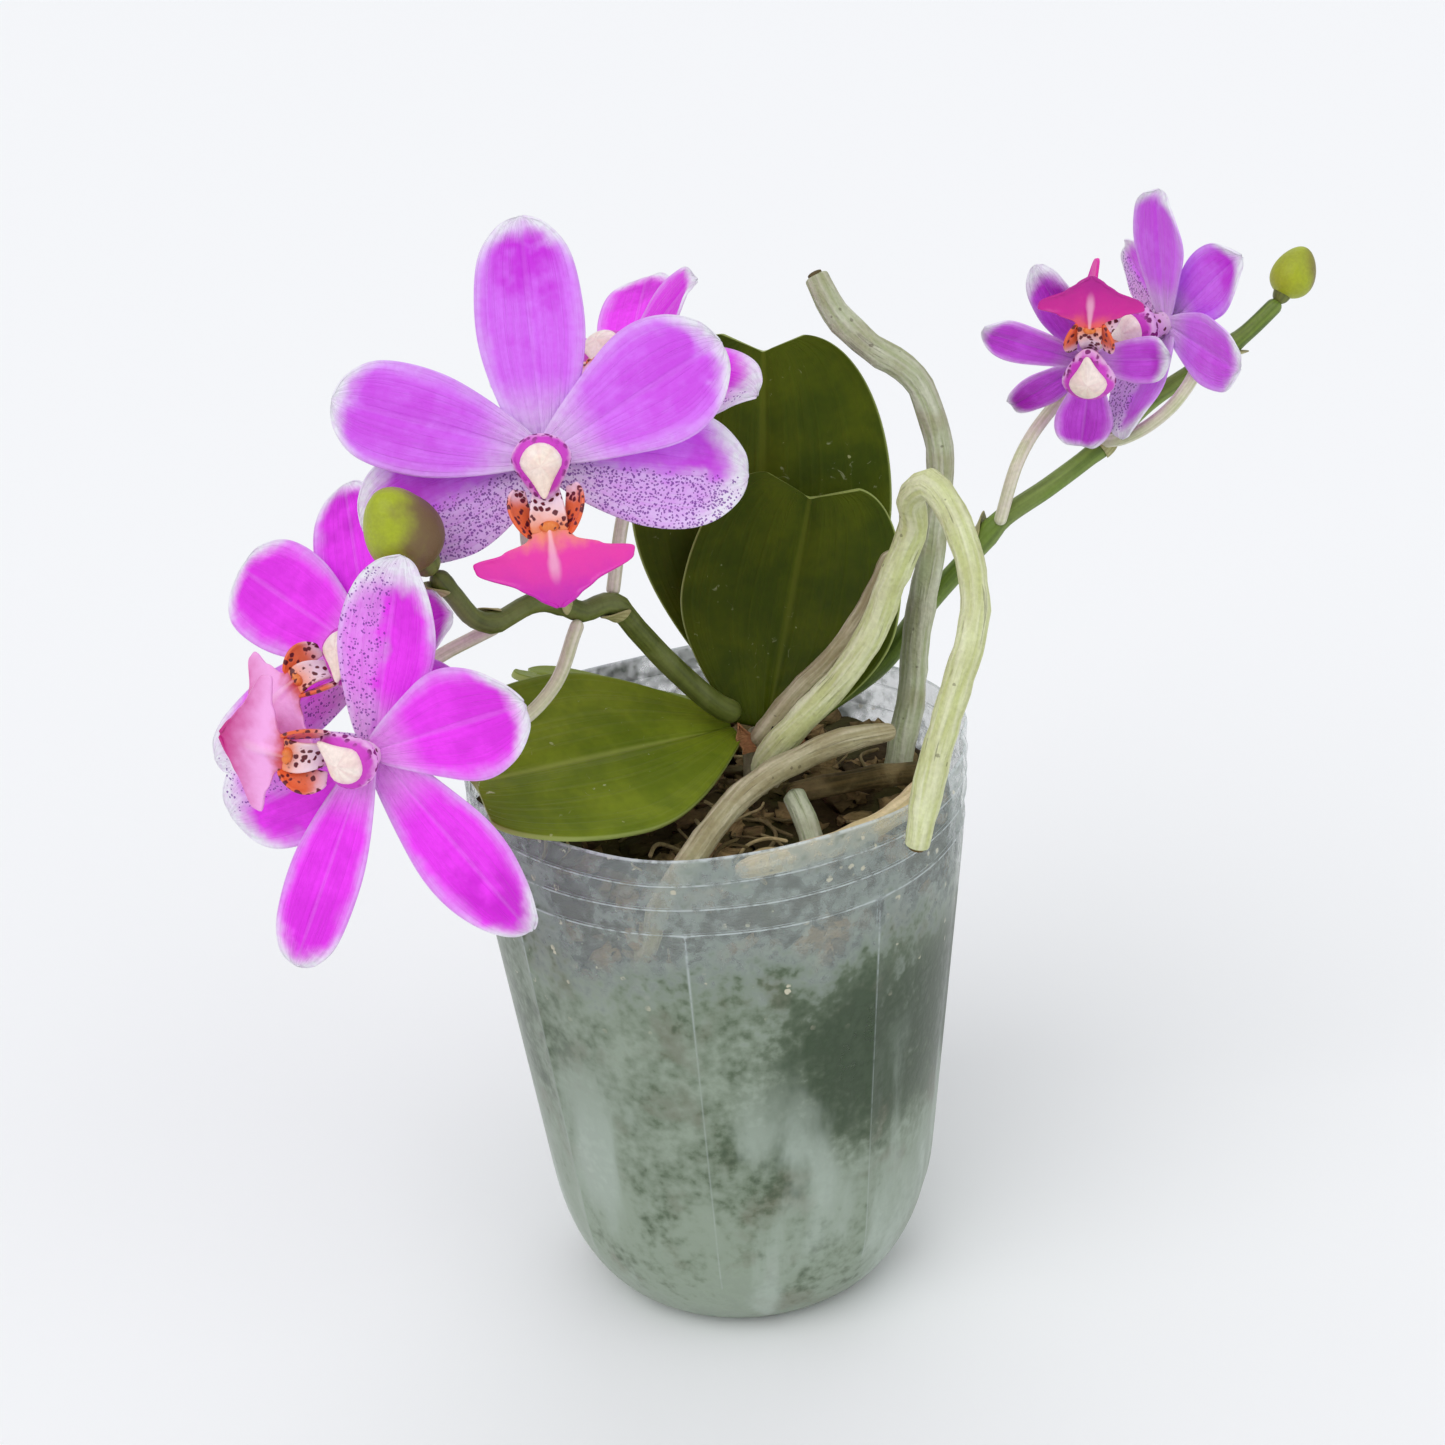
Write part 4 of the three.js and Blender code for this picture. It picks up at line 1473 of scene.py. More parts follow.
HUSKS: list[tuple[Point, Point]] = [
    ((9.5, -6.6, 103), (1, -1.6, 8)),
    ((13.4, -6.2, 106), (2.6, -0.6, 6)),
    ((11.4, -4.8, 107.6), (3.4, 0.6, 5)),
    ((6.4, -5.2, 105), (-1.8, -0.6, 6)),
    ((3, -3, 102), (-2.6, -1, 5)),
]
BLACK_HUSK = BarkFinish("black_husk", dark=srgb(24, 18, 12), light=srgb(44, 34, 24))
TAN_HUSK = BarkFinish(
    "tan_husk", dark=srgb(176, 126, 88), light=srgb(210, 160, 118), moss_weight=0.1
)


@dataclass
class Crown:
    """The short stem that the leaves, roots and spikes grow from, with its dry leaf bases."""

    foot: Point = (8, 3, 88)
    height: float = 18
    radius: float = 3.4

    def build(self) -> None:
        """Rolls the stem, dresses it as dry fibre and adds the torn husks."""
        x, y, low = self.foot
        route = route_through((x, y, low + self.height * share) for share in (0, 0.5, 1))
        stem = rolled_tube("stem_bark", route, self.radius_at, 20, lumps=0.2)
        dress(stem, [TAN])
        place_piece(stem, "stem", ["stem"])
        husks = [self.husk(index, *scrap) for index, scrap in enumerate(HUSKS)]
        place_piece(joined("dry_husks", husks), "stem", [])

    def radius_at(self, share: float) -> float:
        """Gives the stem's radius in metres, a little less towards its top."""
        return self.radius * MM * (1 - 0.15 * share)

    def husk(self, index: int, start: Point, away: Point) -> bpy.types.Object:
        """Tears one dry scrap of old leaf base, near the front of the crown.

        Args:
            index: The scrap's number. Odd ones are wide and tan, even ones narrow and black.
            start: Its foot.
            away: How far its point leans from its foot.

        Returns:
            The scrap.
        """
        foot, lean = metres(start), metres(away)
        wide = 1.7 if index % 2 else 1.1

        def rule(side: float, reach: float) -> Vector:
            """Narrows the scrap to a ragged point and curls it."""
            half = wide * MM * (1 - reach**2) * (1 + 0.3 * math.sin(reach * 9 + index))
            curl = Vector((0.2, -1, 0.2)) * 0.9 * MM * (side**2 - reach)
            return foot + lean * reach + Vector((side * half, 0.3 * side * half, 0)) + curl

        scrap = grown_sheet(f"husk_{index}", (6, 10), rule, 0.3 * MM)
        dress(scrap, [TAN_HUSK if index % 2 else BLACK_HUSK] * 2)
        return scrap


# Leaves


@dataclass
class Blade:
    """The outline of a leaf or a tepal, in the frame's own proportions."""

    length: float
    width: float
    peak: float
    base: float
    tip: float
    bend: float
    cup: float
    start: float = 0.0
    notch: float = 0.0

    def at(self, side: float, share: float) -> Vector:
        """Places a point of the flat outline, in millimetres.

        Args:
            side: From -1 on one edge to 1 on the other.
            share: From 0 at the foot to 1 at the tip.

        Returns:
            The point, with X across, Y along and Z towards the face.
        """
        reach = math.sin(share * math.pi / 2)
        growing = self.base + (1 - self.base) * math.sin(math.pi / 2 * min(1.0, reach / self.peak))
        closing = math.sqrt(max(0.0, 1 - max(0.0, (reach - self.peak) / (1 - self.peak)) ** 2))
        half = self.width / 2 * growing * (self.tip + (1 - self.tip) * closing)
        way = self.start + reach * (self.length - self.start)
        way -= self.notch * (1 - abs(side)) * reach**6
        rise = self.bend * self.length * reach**2 + self.cup * side**2 * half
        return Vector((side * half, way, rise))


@dataclass
class Leaf:
    """One thick leaf, folded a little along its midrib."""

    node: str
    foot: Point
    tip: Point
    face: Point
    width: float
    peak: float
    base: float
    roundness: float
    bend: float
    cup: float
    notch: float
    finishes: list[LeafFinish]
    slot: str = "leaf"
    thickness: float = 1.3
    fold: float = 0.7
    wave: float = 0.5

    def build(self) -> None:
        """Grows the blade between its foot and its tip."""
        along = Vector(self.tip) - Vector(self.foot)
        outline = (self.width, self.peak, self.base, self.roundness, self.bend, self.cup)
        blade = Blade(along.length, *outline, notch=self.notch)
        along.normalize()
        across = along.cross(Vector(self.face)).normalized()
        turn = Matrix((across, along, across.cross(along))).transposed()

        def rule(side: float, reach: float) -> Vector:
            """Presses the midrib in and lets the edges wave."""
            point = blade.at(side, reach)
            point.z -= self.fold * math.exp(-((side / 0.09) ** 2)) * smooth(1.0, 0.7, reach)
            point.z += self.wave * side * math.sin(reach * 7 + self.width) * smooth(0, 0.3, reach)
            return metres(self.foot) + turn @ point * MM

        piece = grown_sheet(f"{self.node}_blade", (30, 44), rule, self.thickness * MM)
        seat_on(piece, self.node)
        dress(piece, self.finishes)
        place_piece(piece, self.slot, [self.node])


OLIVE = LeafFinish("olive_leaf")
OLIVE_UNDER = LeafFinish(
    "olive_leaf_under", blade=srgb(84, 96, 34), cloud=srgb(70, 84, 26), roughness=0.55
)
YOUNG = LeafFinish(
    "fresh_leaf",
    blade=srgb(120, 137, 30),
    cloud=srgb(92, 112, 18),
    rib=srgb(160, 172, 86),
    scars=0.8,
)
YOUNG_UNDER = LeafFinish(
    "fresh_leaf_under", blade=srgb(118, 132, 54), cloud=srgb(100, 116, 42), roughness=0.55
)

LEAVES = [
    Leaf(
        "upper_front_leaf",
        foot=(9.4, -2, 108),
        tip=(20.6, 14, 147),
        face=(-0.1, -1, 0.35),
        width=38,
        peak=0.5,
        base=0.3,
        roundness=0.42,
        bend=0.02,
        cup=0.08,
        notch=3,
        finishes=[OLIVE, OLIVE_UNDER],
    ),
    Leaf(
        "upper_rear_leaf",
        foot=(8.6, 8.4, 107.6),
        tip=(14, 30, 169),
        face=(0, -1, 0.3),
        width=46,
        peak=0.55,
        base=0.16,
        roundness=0.3,
        bend=0.03,
        cup=0.05,
        notch=3,
        finishes=[OLIVE, OLIVE_UNDER],
    ),
    Leaf(
        "lower_left_leaf",
        foot=(3.4, -1.8, 108.4),
        tip=(-40.5, -30.6, 115),
        face=(0.1, -0.5, 1),
        width=37,
        peak=0.55,
        base=0.18,
        roundness=0.5,
        bend=-0.01,
        cup=0.06,
        notch=2,
        finishes=[YOUNG, YOUNG_UNDER],
        slot="young_leaf",
        fold=1.0,
    ),
    Leaf(
        "lower_rear_leaf",
        foot=(2.6, 7, 107),
        tip=(-34, 18.5, 112),
        face=(0, 0.4, 1),
        width=28,
        peak=0.55,
        base=0.2,
        roundness=0.3,
        bend=0.02,
        cup=0.06,
        notch=2,
        finishes=[YOUNG, YOUNG_UNDER],
        slot="young_leaf",
    ),
]


# Buds


@dataclass
class Bud:
    """A closed bud of three sepals that meet in shallow grooves."""

    node: str
    centre: Point
    direction: Point
    radius: float
    joint: Point
    finish: BudFinish

    def build(self) -> None:
        """Pulls a ball into a bud, presses its grooves in and joins it to its stalk."""
        piece = ball_form(f"{self.node}_sepals", 36, 24)
        turn = Vector((0, 0, 1)).rotation_difference(Vector(self.direction)).to_matrix()
        for vertex in piece.data.vertices:
            x, y, z = vertex.co
            around = math.atan2(y, x)
            groove = 0.14 * math.exp(-((math.sin(1.5 * (around + 1.5)) / 0.14) ** 2))
            wide = (0.95 - 0.2 * z) * (1 - groove * smooth(-0.6, 0.5, z))
            shaped = Vector((x * wide, y * wide, z * 1.14))
            vertex.co = metres(self.centre) + turn @ shaped * self.radius * MM
        soften(piece)
        seat_on(piece, self.node)
        dress(piece, [self.finish])
        way_in = route_through([self.joint, self.centre])
        neck = rolled_tube(f"{self.node}_neck", way_in, self.neck_radius)
        dress(neck, [StalkFinish("bud_neck", main=srgb(110, 120, 50), shade=srgb(84, 92, 40))])
        place_piece(joined(f"{self.node}_sepals", [piece, neck]), "bud", [self.node])

    def neck_radius(self, share: float) -> float:
        """Widens the neck from the spike into the bud, in metres."""
        return (0.3 + 0.35 * share) * self.radius * MM


BUDS = [
    Bud(
        "left_bud",
        centre=(-44, -38.2, 161.6),
        direction=(-0.35, -0.3, 1),
        radius=6.2,
        joint=(-40.9, -35.2, 153),
        finish=BudFinish("left_bud_skin", line=-43, spread=6),
    ),
    Bud(
        "right_bud",
        centre=(108.5, 35.9, 171.6),
        direction=(0.45, 0.2, 0.9),
        radius=4.1,
        joint=(105.6, 34.9, 166.6),
        finish=BudFinish("right_bud_skin", line=112, spread=6),
    ),
]


# Flowers


class Tone(Enum):
    """How a flower is coloured: it opens lilac, fresh ones are deeper, and purple is deeper with
    painted shade.
    """

    LILAC = "lilac"
    MAGENTA = "magenta"
    PURPLE = "purple"


TONES: dict[Tone, dict[str, Colour]] = {
    Tone.LILAC: {
        "heart": srgb(204, 46, 226),
        "body": srgb(219, 114, 250),
        "edge": srgb(224, 184, 248),
    },
    Tone.MAGENTA: {
        "heart": srgb(210, 24, 216),
        "body": srgb(246, 58, 252),
        "edge": srgb(222, 190, 244),
    },
    # Painted shade: deeper copies of the petal colours, for the right flower, which faces down.
    Tone.PURPLE: {
        "heart": srgb(180, 20, 196),
        "body": srgb(212, 82, 236),
        "edge": srgb(230, 190, 246),
    },
}
SPECKLING: dict[Tone, float] = {Tone.LILAC: 1.0, Tone.MAGENTA: 0.5, Tone.PURPLE: 0.0}
BACKS: dict[Tone, Colour] = {
    Tone.LILAC: srgb(222, 176, 240),
    Tone.MAGENTA: srgb(226, 140, 240),
    # The purple back is darkened with painted shade too.
    Tone.PURPLE: srgb(192, 118, 196),
}
MIDLOBES: dict[Tone, LipFinish] = {
    Tone.LILAC: LipFinish(
        "midlobe_lilac",
        start=srgb(250, 150, 110),
        middle=srgb(238, 54, 172),
        finish=srgb(204, 30, 180),
        keel_weight=0.45,
    ),
    Tone.MAGENTA: LipFinish(
        "midlobe_folded",
        start=srgb(206, 66, 66),
        middle=srgb(248, 172, 234),
        finish=srgb(196, 14, 128),
        turn_at=0.3,
        keel_weight=0.2,
    ),
    # The purple midlobe is a deeper copy with painted shade.
    Tone.PURPLE: LipFinish(
        "midlobe_purple",
        start=srgb(240, 96, 96),
        middle=srgb(206, 24, 150),
        finish=srgb(176, 8, 140),
        keel_weight=0.45,
    ),
}
THROAT = LipFinish(
    "lip_throat",
    start=srgb(214, 110, 190),
    middle=srgb(246, 224, 236),
    finish=srgb(240, 140, 96),
    blotch_weight=0.75,
    keel_weight=0,
    turn_at=0.4,
)
CALLUS = LipFinish(
    "callus_skin",
    start=srgb(240, 170, 70),
    middle=srgb(226, 110, 50),
    finish=srgb(230, 130, 60),
    blotch_weight=0.5,
    keel_weight=0,
)
COLUMN = LipFinish(
    "column_skin",
    start=srgb(246, 228, 240),
    middle=srgb(232, 150, 220),
    finish=srgb(206, 70, 190),
    blotch_weight=0.35,
    keel_weight=0,
    turn_at=0.9,
)
FLOWER_STALK = StalkFinish(
    "flower_stalk",
    main=srgb(226, 224, 200),
    shade=srgb(190, 194, 150),
    fleck=srgb(232, 206, 214),
    along=0.4,
)
ANTHER_CAP = StalkFinish(
    "anther_cap",
    roughness=0.32,
    main=srgb(250, 236, 228),
    shade=srgb(240, 214, 210),
    fleck=srgb(250, 224, 190),
    along=0.2,
)


@dataclass(frozen=True)
class TepalForm:
    """What all tepals of one kind share: their layer in the flower and their outline."""

    layer: float
    peak: float
    base: float
    tip: float
    bend: float
    cup: float
    speckled_half: float = 0.0
    heart_at: tuple[float, float] = (0.5, 0.85)
    heart_weight: float = 0.8
    tip_start: float = 0.82


SEPAL = TepalForm(-1, 0.5, 0.36, 0.14, -0.05, 0.05, tip_start=0.7)
PETAL = TepalForm(
    0.3, 0.62, 0.24, 0.16, -0.02, 0.05, heart_at=(0.4, 0.8), heart_weight=0.55
)
TEPALS: dict[str, TepalForm] = {
    "dorsal_sepal": TepalForm(
        -1, 0.55, 0.36, 0.14, -0.03, 0.1, heart_at=(0.55, 0.84), heart_weight=1.0
    ),
    "left_sepal": replace(SEPAL, speckled_half=-1.0),
    "right_sepal": replace(SEPAL, speckled_half=1.0),
    "left_petal": PETAL,
    "right_petal": PETAL,
}


@dataclass
class Lip:
    """The lip: a channelled throat, two side lobes, a callus and an anchor-shaped midlobe."""

    turn: float
    lift: float
    size: float
    foot: Point = (0, -3.8, 2)
    thickness: float = 0.55
    places: tuple[float, ...] = (0, 0.12, 0.3, 0.44, 0.58, 0.74, 0.87, 1)
    half_widths: tuple[float, ...] = (2.4, 3.4, 7.6, 12.4, 12, 6, 3.2, 0.35)

    def frame(self) -> Matrix:
        """Gives the lip's own frame inside the flower's, in millimetres."""
        turn = turned(math.radians(self.turn), "Z")
        hinge = turned(-math.radians(self.lift), "X")
        return turn @ Matrix.Translation(self.foot) @ hinge @ Matrix.Scale(self.size, 4)

    def midlobe(self, side: float, reach: float) -> Vector:
        """Spreads the arms of the anchor, bends them back and raises the keel."""
        half = between(list(self.places), list(self.half_widths), reach)
        keel = 0.7 * math.exp(-((side * half / 0.7) ** 2)) * smooth(0.7, 0.3, reach)
        droop = 1.1 * abs(side * half / 11.4) ** 1.6
        curl = 1.6 * abs(side) ** 3 * smooth(0.1, 0.4, reach)
        way = -7.6 - 11.8 * reach + 1.1 * droop
        return Vector((side * half, way, 5.5 - 2.3 * reach**2 + keel - 1.6 * droop + curl * 0.4))

    def throat(self, side: float, reach: float) -> Vector:
        """Bends the claw forward and turns its edges up into a channel."""
        half = 1.7 + 1.2 * math.sin(reach * math.pi / 2)
        rise = 5.5 * math.sin(reach * math.pi / 2)
        return Vector((side * half, -8 * reach, rise + 1.4 * side**2 * math.sin(reach * math.pi)))

    def side_lobe(self, hand: int) -> Rule:
        """Gives the rule for the raised lobe on one hand, -1 or 1."""

        def rule(side: float, reach: float) -> Vector:
            """Raises the lobe from the throat and curls its free edge inwards."""
            free = (side + 1) / 2
            full = math.sqrt(max(0.0, math.sin(math.pi * (0.05 + 0.88 * reach))))
            out = 1.9 + 1.3 * reach + 4.4 * full * free - 1.4 * full * free**3
            rise = 4.6 - 2.2 * reach + 3.6 * full * free
            return Vector((hand * out, -8.9 + 7.6 * reach + 0.8 * free * full, rise))

        return rule

    def build(self, name: str, place: Matrix, tone: Tone) -> bpy.types.Object:
        """Grows the parts of the lip and joins them.

        Args:
            name: The flower's name.
            place: The flower's frame, in metres.
            tone: How the flower is coloured.

        Returns:
            The whole lip.
        """
        inside = place @ self.frame()
        lobe = LipFinish(
            f"side_lobe_{tone.value}",
            start=srgb(236, 98, 48),
            middle=srgb(228, 104, 62),
            finish=srgb(244, 206, 222),
            blotch_weight=0.8,
            keel_weight=0,
            turn_at=0.55,
        )
        parts = []
        for label, cells, rule, finish in (
            ("midlobe", (32, 26), self.midlobe, MIDLOBES[tone]),
            ("throat", (12, 14), self.throat, THROAT),
            ("left_lobe", (10, 16), self.side_lobe(-1), lobe),
            ("right_lobe", (10, 16), self.side_lobe(1), lobe),
        ):
            placed = partial(self.placed, inside, rule)
            part = grown_sheet(f"{name}_{label}", cells, placed, self.thickness * MM)
            dress(part, [finish] * 2)
            parts.append(part)
        return joined(f"{name}_lip_lobes", [*parts, self.callus(name, inside)])

    @staticmethod
    def placed(inside: Matrix, rule: Rule, side: float, reach: float) -> Vector:
        """Follows a rule inside a frame."""
        return inside @ rule(side, reach)

    def callus(self, name: str, inside: Matrix) -> bpy.types.Object:
        """Pulls a small forked tooth out of a ball, in the throat."""
        tooth = ball_form(f"{name}_callus", 20, 12)
        for vertex in tooth.data.vertices:
            x, y, z = vertex.co
            fork = 0.5 * math.exp(-((x / 0.3) ** 2)) * smooth(-0.2, 0.8, z)
            vertex.co = inside @ Vector((1.5 * x, -7.2 + 0.9 * y, 5.9 + 1.1 * z * (1 - fork)))
        tooth.data.shade_smooth()
        dress(tooth, [CALLUS])
        return tooth


@dataclass
class Flower:
    """One flower: five tepals, a lip, and the stalk that runs on into the column.

    It faces along an azimuth and an elevation, and is rolled about that line, in degrees. Each
    tepal has its turn and its lift in degrees, then its length and its width in millimetres.
    """

    name: str
    facing: tuple[float, float]
    roll: float
    tone: Tone
    tepals: dict[str, tuple[float, float, float, float]]
    lip: Lip
    stalk: list[Point]
    start: float = 3
    thickness: float = 0.45
    ruffle: float = 0.7
    stalk_reach: float = 2.4
    cells: tuple[int, int] = (22, 30)

    def turn(self) -> Matrix:
        """Gives the way that the flower faces, as a rotation."""
        azimuth, elevation = (math.radians(angle) for angle in self.facing)
        level = math.cos(elevation)
        face = Vector((level * math.sin(azimuth), -level * math.cos(azimuth), math.sin(elevation)))
        right = Vector((0, 0, 1)).cross(face).normalized()
        upright = Matrix((right, face.cross(right), face)).transposed().to_4x4()
        return upright @ turned(math.radians(self.roll), "Z")

    def tepal_place(self, part: str) -> Matrix:
        """Gives a tepal's turn and layer inside the flower, in millimetres."""
        angle, lift = self.tepals[part][:2]
        turn = turned(math.radians(angle - 90), "Z") @ turned(math.radians(lift), "X")
        return Matrix.Translation((0, 0, TEPALS[part].layer)) @ turn

    def blade(self, part: str) -> Blade:
        """Gives a tepal's outline."""
        length, width = self.tepals[part][2:]
        form = TEPALS[part]
        outline = (form.peak, form.base, form.tip, form.bend, form.cup)
        return Blade(length, width, *outline, start=self.start)

    def centre(self) -> Vector:
        """Finds where the tepals meet, from the boxes of their nodes, in metres."""
        total = Vector()
        for part in self.tepals:
            blade, place = self.blade(part), self.turn() @ self.tepal_place(part)
            grid = [(side / 2, share / 6) for side in range(-2, 3) for share in range(7)]
            spots = [place @ blade.at(side, reach) * MM for side, reach in grid]
            middle = [(min(along) + max(along)) / 2 for along in zip(*spots)]
            total += node_centre(f"{self.name}_{part}") - Vector(middle)
        return total / len(self.tepals)

    def build(self) -> None:
        """Grows the whole flower where its nodes are."""
        place = Matrix.Translation(self.centre()) @ self.turn() @ Matrix.Scale(MM, 4)
        for part in self.tepals:
            self.build_tepal(part, place)
        lip = self.lip.build(self.name, place, self.tone)
        place_piece(lip, "lip", [f"{self.name}_lip"])
        self.build_column(place)

    def build_tepal(self, part: str, place: Matrix) -> None:
        """Grows one sepal or petal, with a pressed midrib and ruffled edges."""
        blade, inside = self.blade(part), place @ self.tepal_place(part)
        phase = sum(map(ord, self.name + part)) % 7

        def rule(side: float, reach: float) -> Vector:
            """Presses the midrib in and ruffles the edges."""
            point = blade.at(side, reach)
            point.y -= 2 * smooth(0.25, 0, reach)
            point.z -= 0.45 * math.exp(-((side / 0.13) ** 2)) * smooth(1, 0.5, reach)
            loose = smooth(0.15, 0.6, reach) * smooth(1, 0.85, reach)
            point.z += self.ruffle * math.sin(reach * 6.5 + phase + side) * side**2 * loose
            point.z -= 0.9 * smooth(0.75, 1, reach)
            point.x *= 1 + 0.025 * math.sin(reach * 11 + phase)
            rounding = math.sqrt(1 - 0.96 * smooth(0.84, 1, reach))
            point.x *= (1 - 0.18 * smooth(0.6, 1, reach)) * rounding
            return inside @ point

        piece = grown_sheet(f"{self.name}_{part}_skin", self.cells, rule, self.thickness * MM)
        dress(piece, [self.face_finish(part), self.back_finish()])
        place_piece(piece, "petal", [f"{self.name}_{part}"])

    def face_finish(self, part: str) -> PetalFinish:
        """Chooses the finish of a tepal's face."""
        form = TEPALS[part]
        speckled = bool(form.speckled_half)
        weight = SPECKLING[self.tone] if speckled else 0.0
        return PetalFinish(
            f"{part}_{self.tone.value}",
            **TONES[self.tone],
            heart_at=form.heart_at,
            heart_weight=form.heart_weight,
            tip_start=form.tip_start,
            base_weight=0.55 if self.tone is Tone.LILAC else 0.35,
            midrib=0.07 if self.tone is Tone.LILAC else 0.11,
            speckled_half=form.speckled_half,
            speck_weight=weight,
        )

    def back_finish(self) -> PetalFinish:
        """Gives the paler, plainer finish of a tepal's back."""
        colours = TONES[self.tone] | {"body": BACKS[self.tone]}
        return PetalFinish(f"tepal_back_{self.tone.value}", **colours, heart_weight=0.2, midrib=0.5)

    def build_column(self, place: Matrix) -> None:
        """Rolls the stalk and column, and sets the hood and the cap on its end."""
        root = [metres(point) for point in self.stalk]
        inner = [place @ Vector(point) for point in ((0, 0, -3.4), (0, 0, -0.5))]
        root.insert(0, root[0] + (root[0] - root[1]).normalized() * self.stalk_reach * MM)
        stalk = rolled_tube(f"{self.name}_stalk", Route(root + inner), self.stalk_radius, 16)
        dress(stalk, [FLOWER_STALK])
        bends = ((0, 0, -1.2), (0, 0.2, 1.5), (0, 0.6, 4), (0, 0.9, 6.6))
        spine = Route([place @ Vector(point) for point in bends])
        post = rolled_tube(f"{self.name}_post", spine, lambda share: (1.9 + 0.5 * share) * MM, 18)
        dress(post, [COLUMN])
        hood = self.ball("hood", place, (0, -0.9, 5.4), (4.7, 4.3, 2.5), 0.3)
        dress(hood, [HoodFinish("hood_skin")])
        cap = self.ball("cap", place, (0, -1.6, 7.2), (3.3, 3.6, 1.7), 0.62)
        dress(cap, [ANTHER_CAP])
        whole = joined(f"{self.name}_column_and_stalk", [stalk, post, hood, cap])
        place_piece(whole, "stalk_and_column", [f"{self.name}_column"])

    @staticmethod
    def stalk_radius(share: float) -> float:
        """Widens the stalk towards the flower, in metres."""
        return (1.15 + 0.6 * smooth(0.55, 0.95, share)) * MM

    def ball(
        self, label: str, place: Matrix, centre: Point, size: Point, taper: float
    ) -> bpy.types.Object:
        """Pulls a ball into a drop that narrows towards the lip.

        Args:
            label: What the drop is.
            place: The flower's frame.
            centre: The drop's middle in that frame, in millimetres.
            size: Its half sizes.
            taper: How much narrower its lower end is.

        Returns:
            The drop.
        """
        drop = ball_form(f"{self.name}_{label}", 28, 18)
        for vertex in drop.data.vertices:
            x, y, z = vertex.co
            narrow = 1 - taper * smooth(0.3, -1, y)
            long = 1 + 0.35 * smooth(0, -1, y)
            pulled = Vector((x * size[0] * narrow, y * size[1] * long, z * size[2] * narrow))
            vertex.co = place @ (pulled + Vector(centre))
        drop.data.shade_smooth()
        return drop


FLOWERS = [
    Flower(
        "front_flower", (0, 17), 1, Tone.LILAC,
        {"dorsal_sepal": (90, 2, 36, 17),
         "left_petal": (160, 2, 33, 17), "right_petal": (27, 2, 32, 19),
         "left_sepal": (197, -5, 31, 20), "right_sepal": (349, -6, 32, 19)},
        Lip(2, 4, 1),
        [(-25.6, -21.8, 145.2), (-27, -20, 150), (-26.4, -21, 158), (-24, -24, 165)],
    ),
    Flower(
        "upper_left_flower", (-32, 38), 12, Tone.MAGENTA,
        {"dorsal_sepal": (108, 0, 32, 14),
         "left_petal": (148, 5, 30, 18), "right_petal": (14, 14, 18, 12),
         "left_sepal": (208, 3, 32, 15), "right_sepal": (325, -4, 22, 13)},
        Lip(-50, 10, 0.85),
        [(-34.6, -25.6, 139), (-40, -25, 136.4), (-46, -27.4, 134.6)],
    ),
    Flower(
        "lower_left_flower", (-20, 2), -130, Tone.MAGENTA,
        {"dorsal_sepal": (82, 6, 37, 16),
         "left_petal": (152, 8, 30, 18), "right_petal": (21, 20, 36, 12.5),
         "left_sepal": (206, 2, 32, 16), "right_sepal": (338, 4, 30, 18)},
        Lip(28, 8, 0.95),
        [(-21, -21.8, 136), (-24.5, -25, 129), (-31, -30, 124.6), (-40, -34.6, 124.4),
         (-47, -38.4, 127)],
    ),
    Flower(
        "rear_flower", (-45, 60), 30, Tone.MAGENTA,
        {"dorsal_sepal": (90, 0, 27, 14),
         "left_petal": (160, 4, 26, 16), "right_petal": (10, 34, 22, 15),
         "left_sepal": (210, 0, 28, 15), "right_sepal": (330, 8, 31, 16)},
        Lip(3, 25, 0.8),
        [(-14.2, -12.8, 141), (-12.6, -8, 148), (-10, 0, 156), (-8.6, 5, 163)],
    ),
    Flower(
        "right_flower", (-15, -20), 180, Tone.PURPLE,
        {"dorsal_sepal": (40, -8, 20, 7),
         "left_petal": (82, 2, 18, 10), "right_petal": (327, 18, 21, 8),
         "left_sepal": (178, 0, 13, 10), "right_sepal": (297, 0, 20, 8)},
        Lip(-2, -16, 0.72),
        [(53.8, 18, 137.2), (56.3, 18, 145.4), (59.6, 22, 149.4), (65, 27.4, 153.6),
         (70.6, 25.6, 161)],
    ),
    Flower(
        "end_flower", (-60, 0), -70, Tone.LILAC,
        {"dorsal_sepal": (110, 3, 22, 12),
         "left_petal": (156, 10, 24, 13), "right_petal": (62, 10, 22, 13),
         "left_sepal": (224, -12, 22, 9), "right_sepal": (346, 40, 22, 12)},
        Lip(-20, -6, 0.8),
        [(73.5, 23.3, 147.2), (75.6, 19.4, 148.8), (79.6, 17.2, 151.6), (84.6, 17.6, 155.8),
         (89, 22, 161.6)],
    ),
]


# Studio


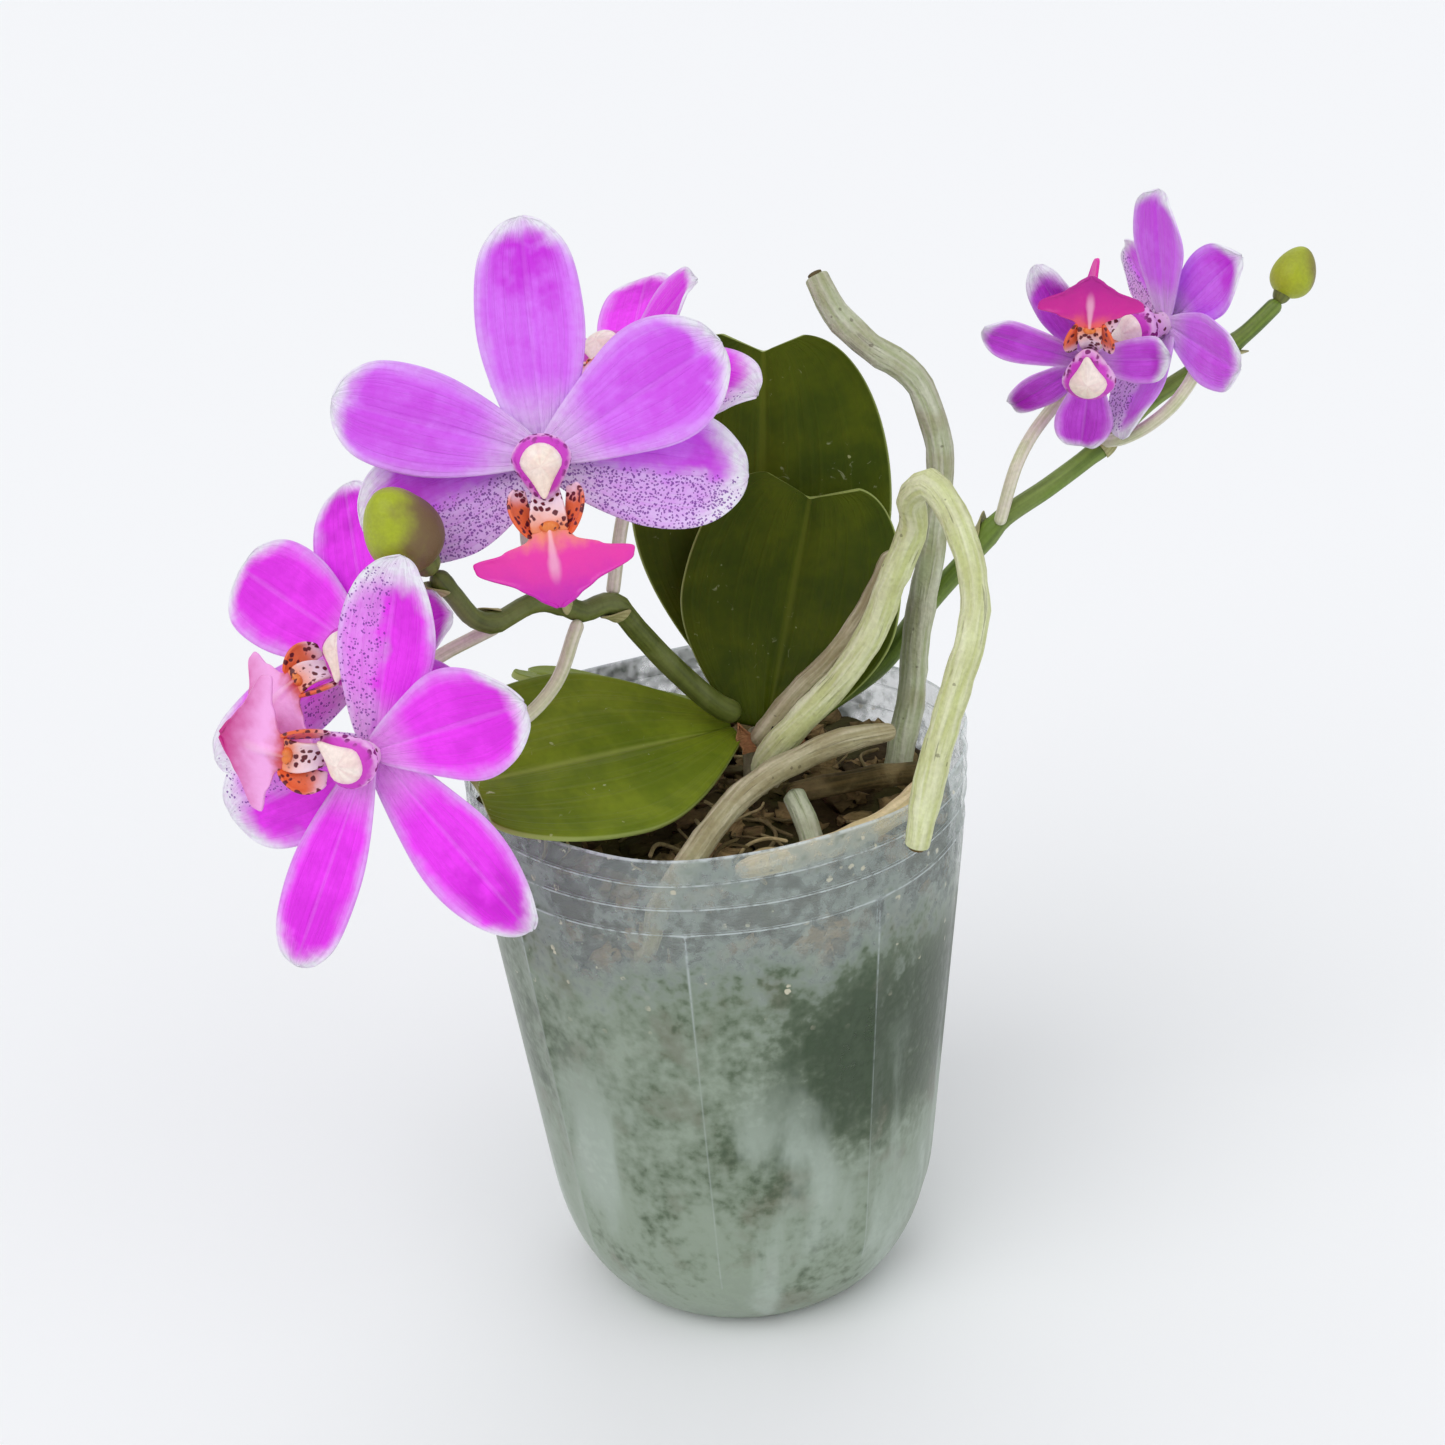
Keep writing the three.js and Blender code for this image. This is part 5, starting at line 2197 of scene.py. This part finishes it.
@dataclass
class Studio:
    """A plain pale floor, soft lights and the camera."""

    eye: Point = (0, -382.4, 279.8)
    lens: float = 60
    pitch: float = -24.1
    yaw: float = 0.29
    roll: float = -4.04
    floor_size: float = 80
    sky: Colour = srgb(246, 247, 249)
    sky_strength: float = 0.66
    lights: list[tuple[str, Point, float]] = field(default_factory=lambda: [
        ("key", (-500, -700, 1100), 1.03),
        ("fill", (800, -600, 700), 0.33),
        ("back", (200, 800, 900), 0.38),
    ])

    def build(self) -> None:
        """Lays the floor, hangs the lights and sets the camera."""
        bpy.ops.mesh.primitive_plane_add(size=self.floor_size)
        floor = named("floor")
        dress(floor, [FloorFinish("studio_floor")])
        world = bpy.data.worlds.new("studio")
        world.use_nodes = True
        ground = world.node_tree.nodes["Background"]
        ground.inputs["Color"].default_value = self.sky
        ground.inputs["Strength"].default_value = self.sky_strength
        scene = bpy.context.scene
        scene.world = world
        scene.view_settings.view_transform = "Standard"
        middle = sum(CAD_BOX, Vector()) / 2
        for name, place, power in self.lights:
            self.hang_light(name, metres(place) - middle, power)
        self.set_camera()

    def hang_light(self, name: str, away: Vector, power: float) -> None:
        """Hangs one broad soft light, a long way off in a direction."""
        data = bpy.data.lights.new(name, "SUN")
        data.angle = math.radians(50)
        data.energy = power
        light = bpy.data.objects.new(name, data)
        light.location = away
        light.rotation_euler = away.to_track_quat("Z", "Y").to_euler()
        bpy.context.scene.collection.objects.link(light)

    def set_camera(self) -> None:
        """Sets the camera at the eye, looking down a little and tilted."""
        data = bpy.data.cameras.new("camera")
        data.lens = self.lens
        camera = bpy.data.objects.new("camera", data)
        level = turned(math.radians(90 + self.pitch), "X")
        turn = turned(-math.radians(self.yaw), "Z")
        tilt = turned(math.radians(self.roll), "Z")
        camera.matrix_world = Matrix.Translation(metres(self.eye)) @ turn @ level @ tilt
        bpy.context.scene.collection.objects.link(camera)
        bpy.context.scene.camera = camera


def write_sizes() -> None:
    """Brings the view layer up to date."""
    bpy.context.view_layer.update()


def main() -> None:
    """Builds the pot, the plant and the studio, in that order."""
    pot = Pot()
    groups = [[pot, Filling(pot), Crown()], ROOTS, SPIKES, LEAVES, BUDS, FLOWERS]
    for part in (part for group in groups for part in group):
        part.build()
    Studio().build()
    write_sizes()


if __name__ == "__main__":
    main()
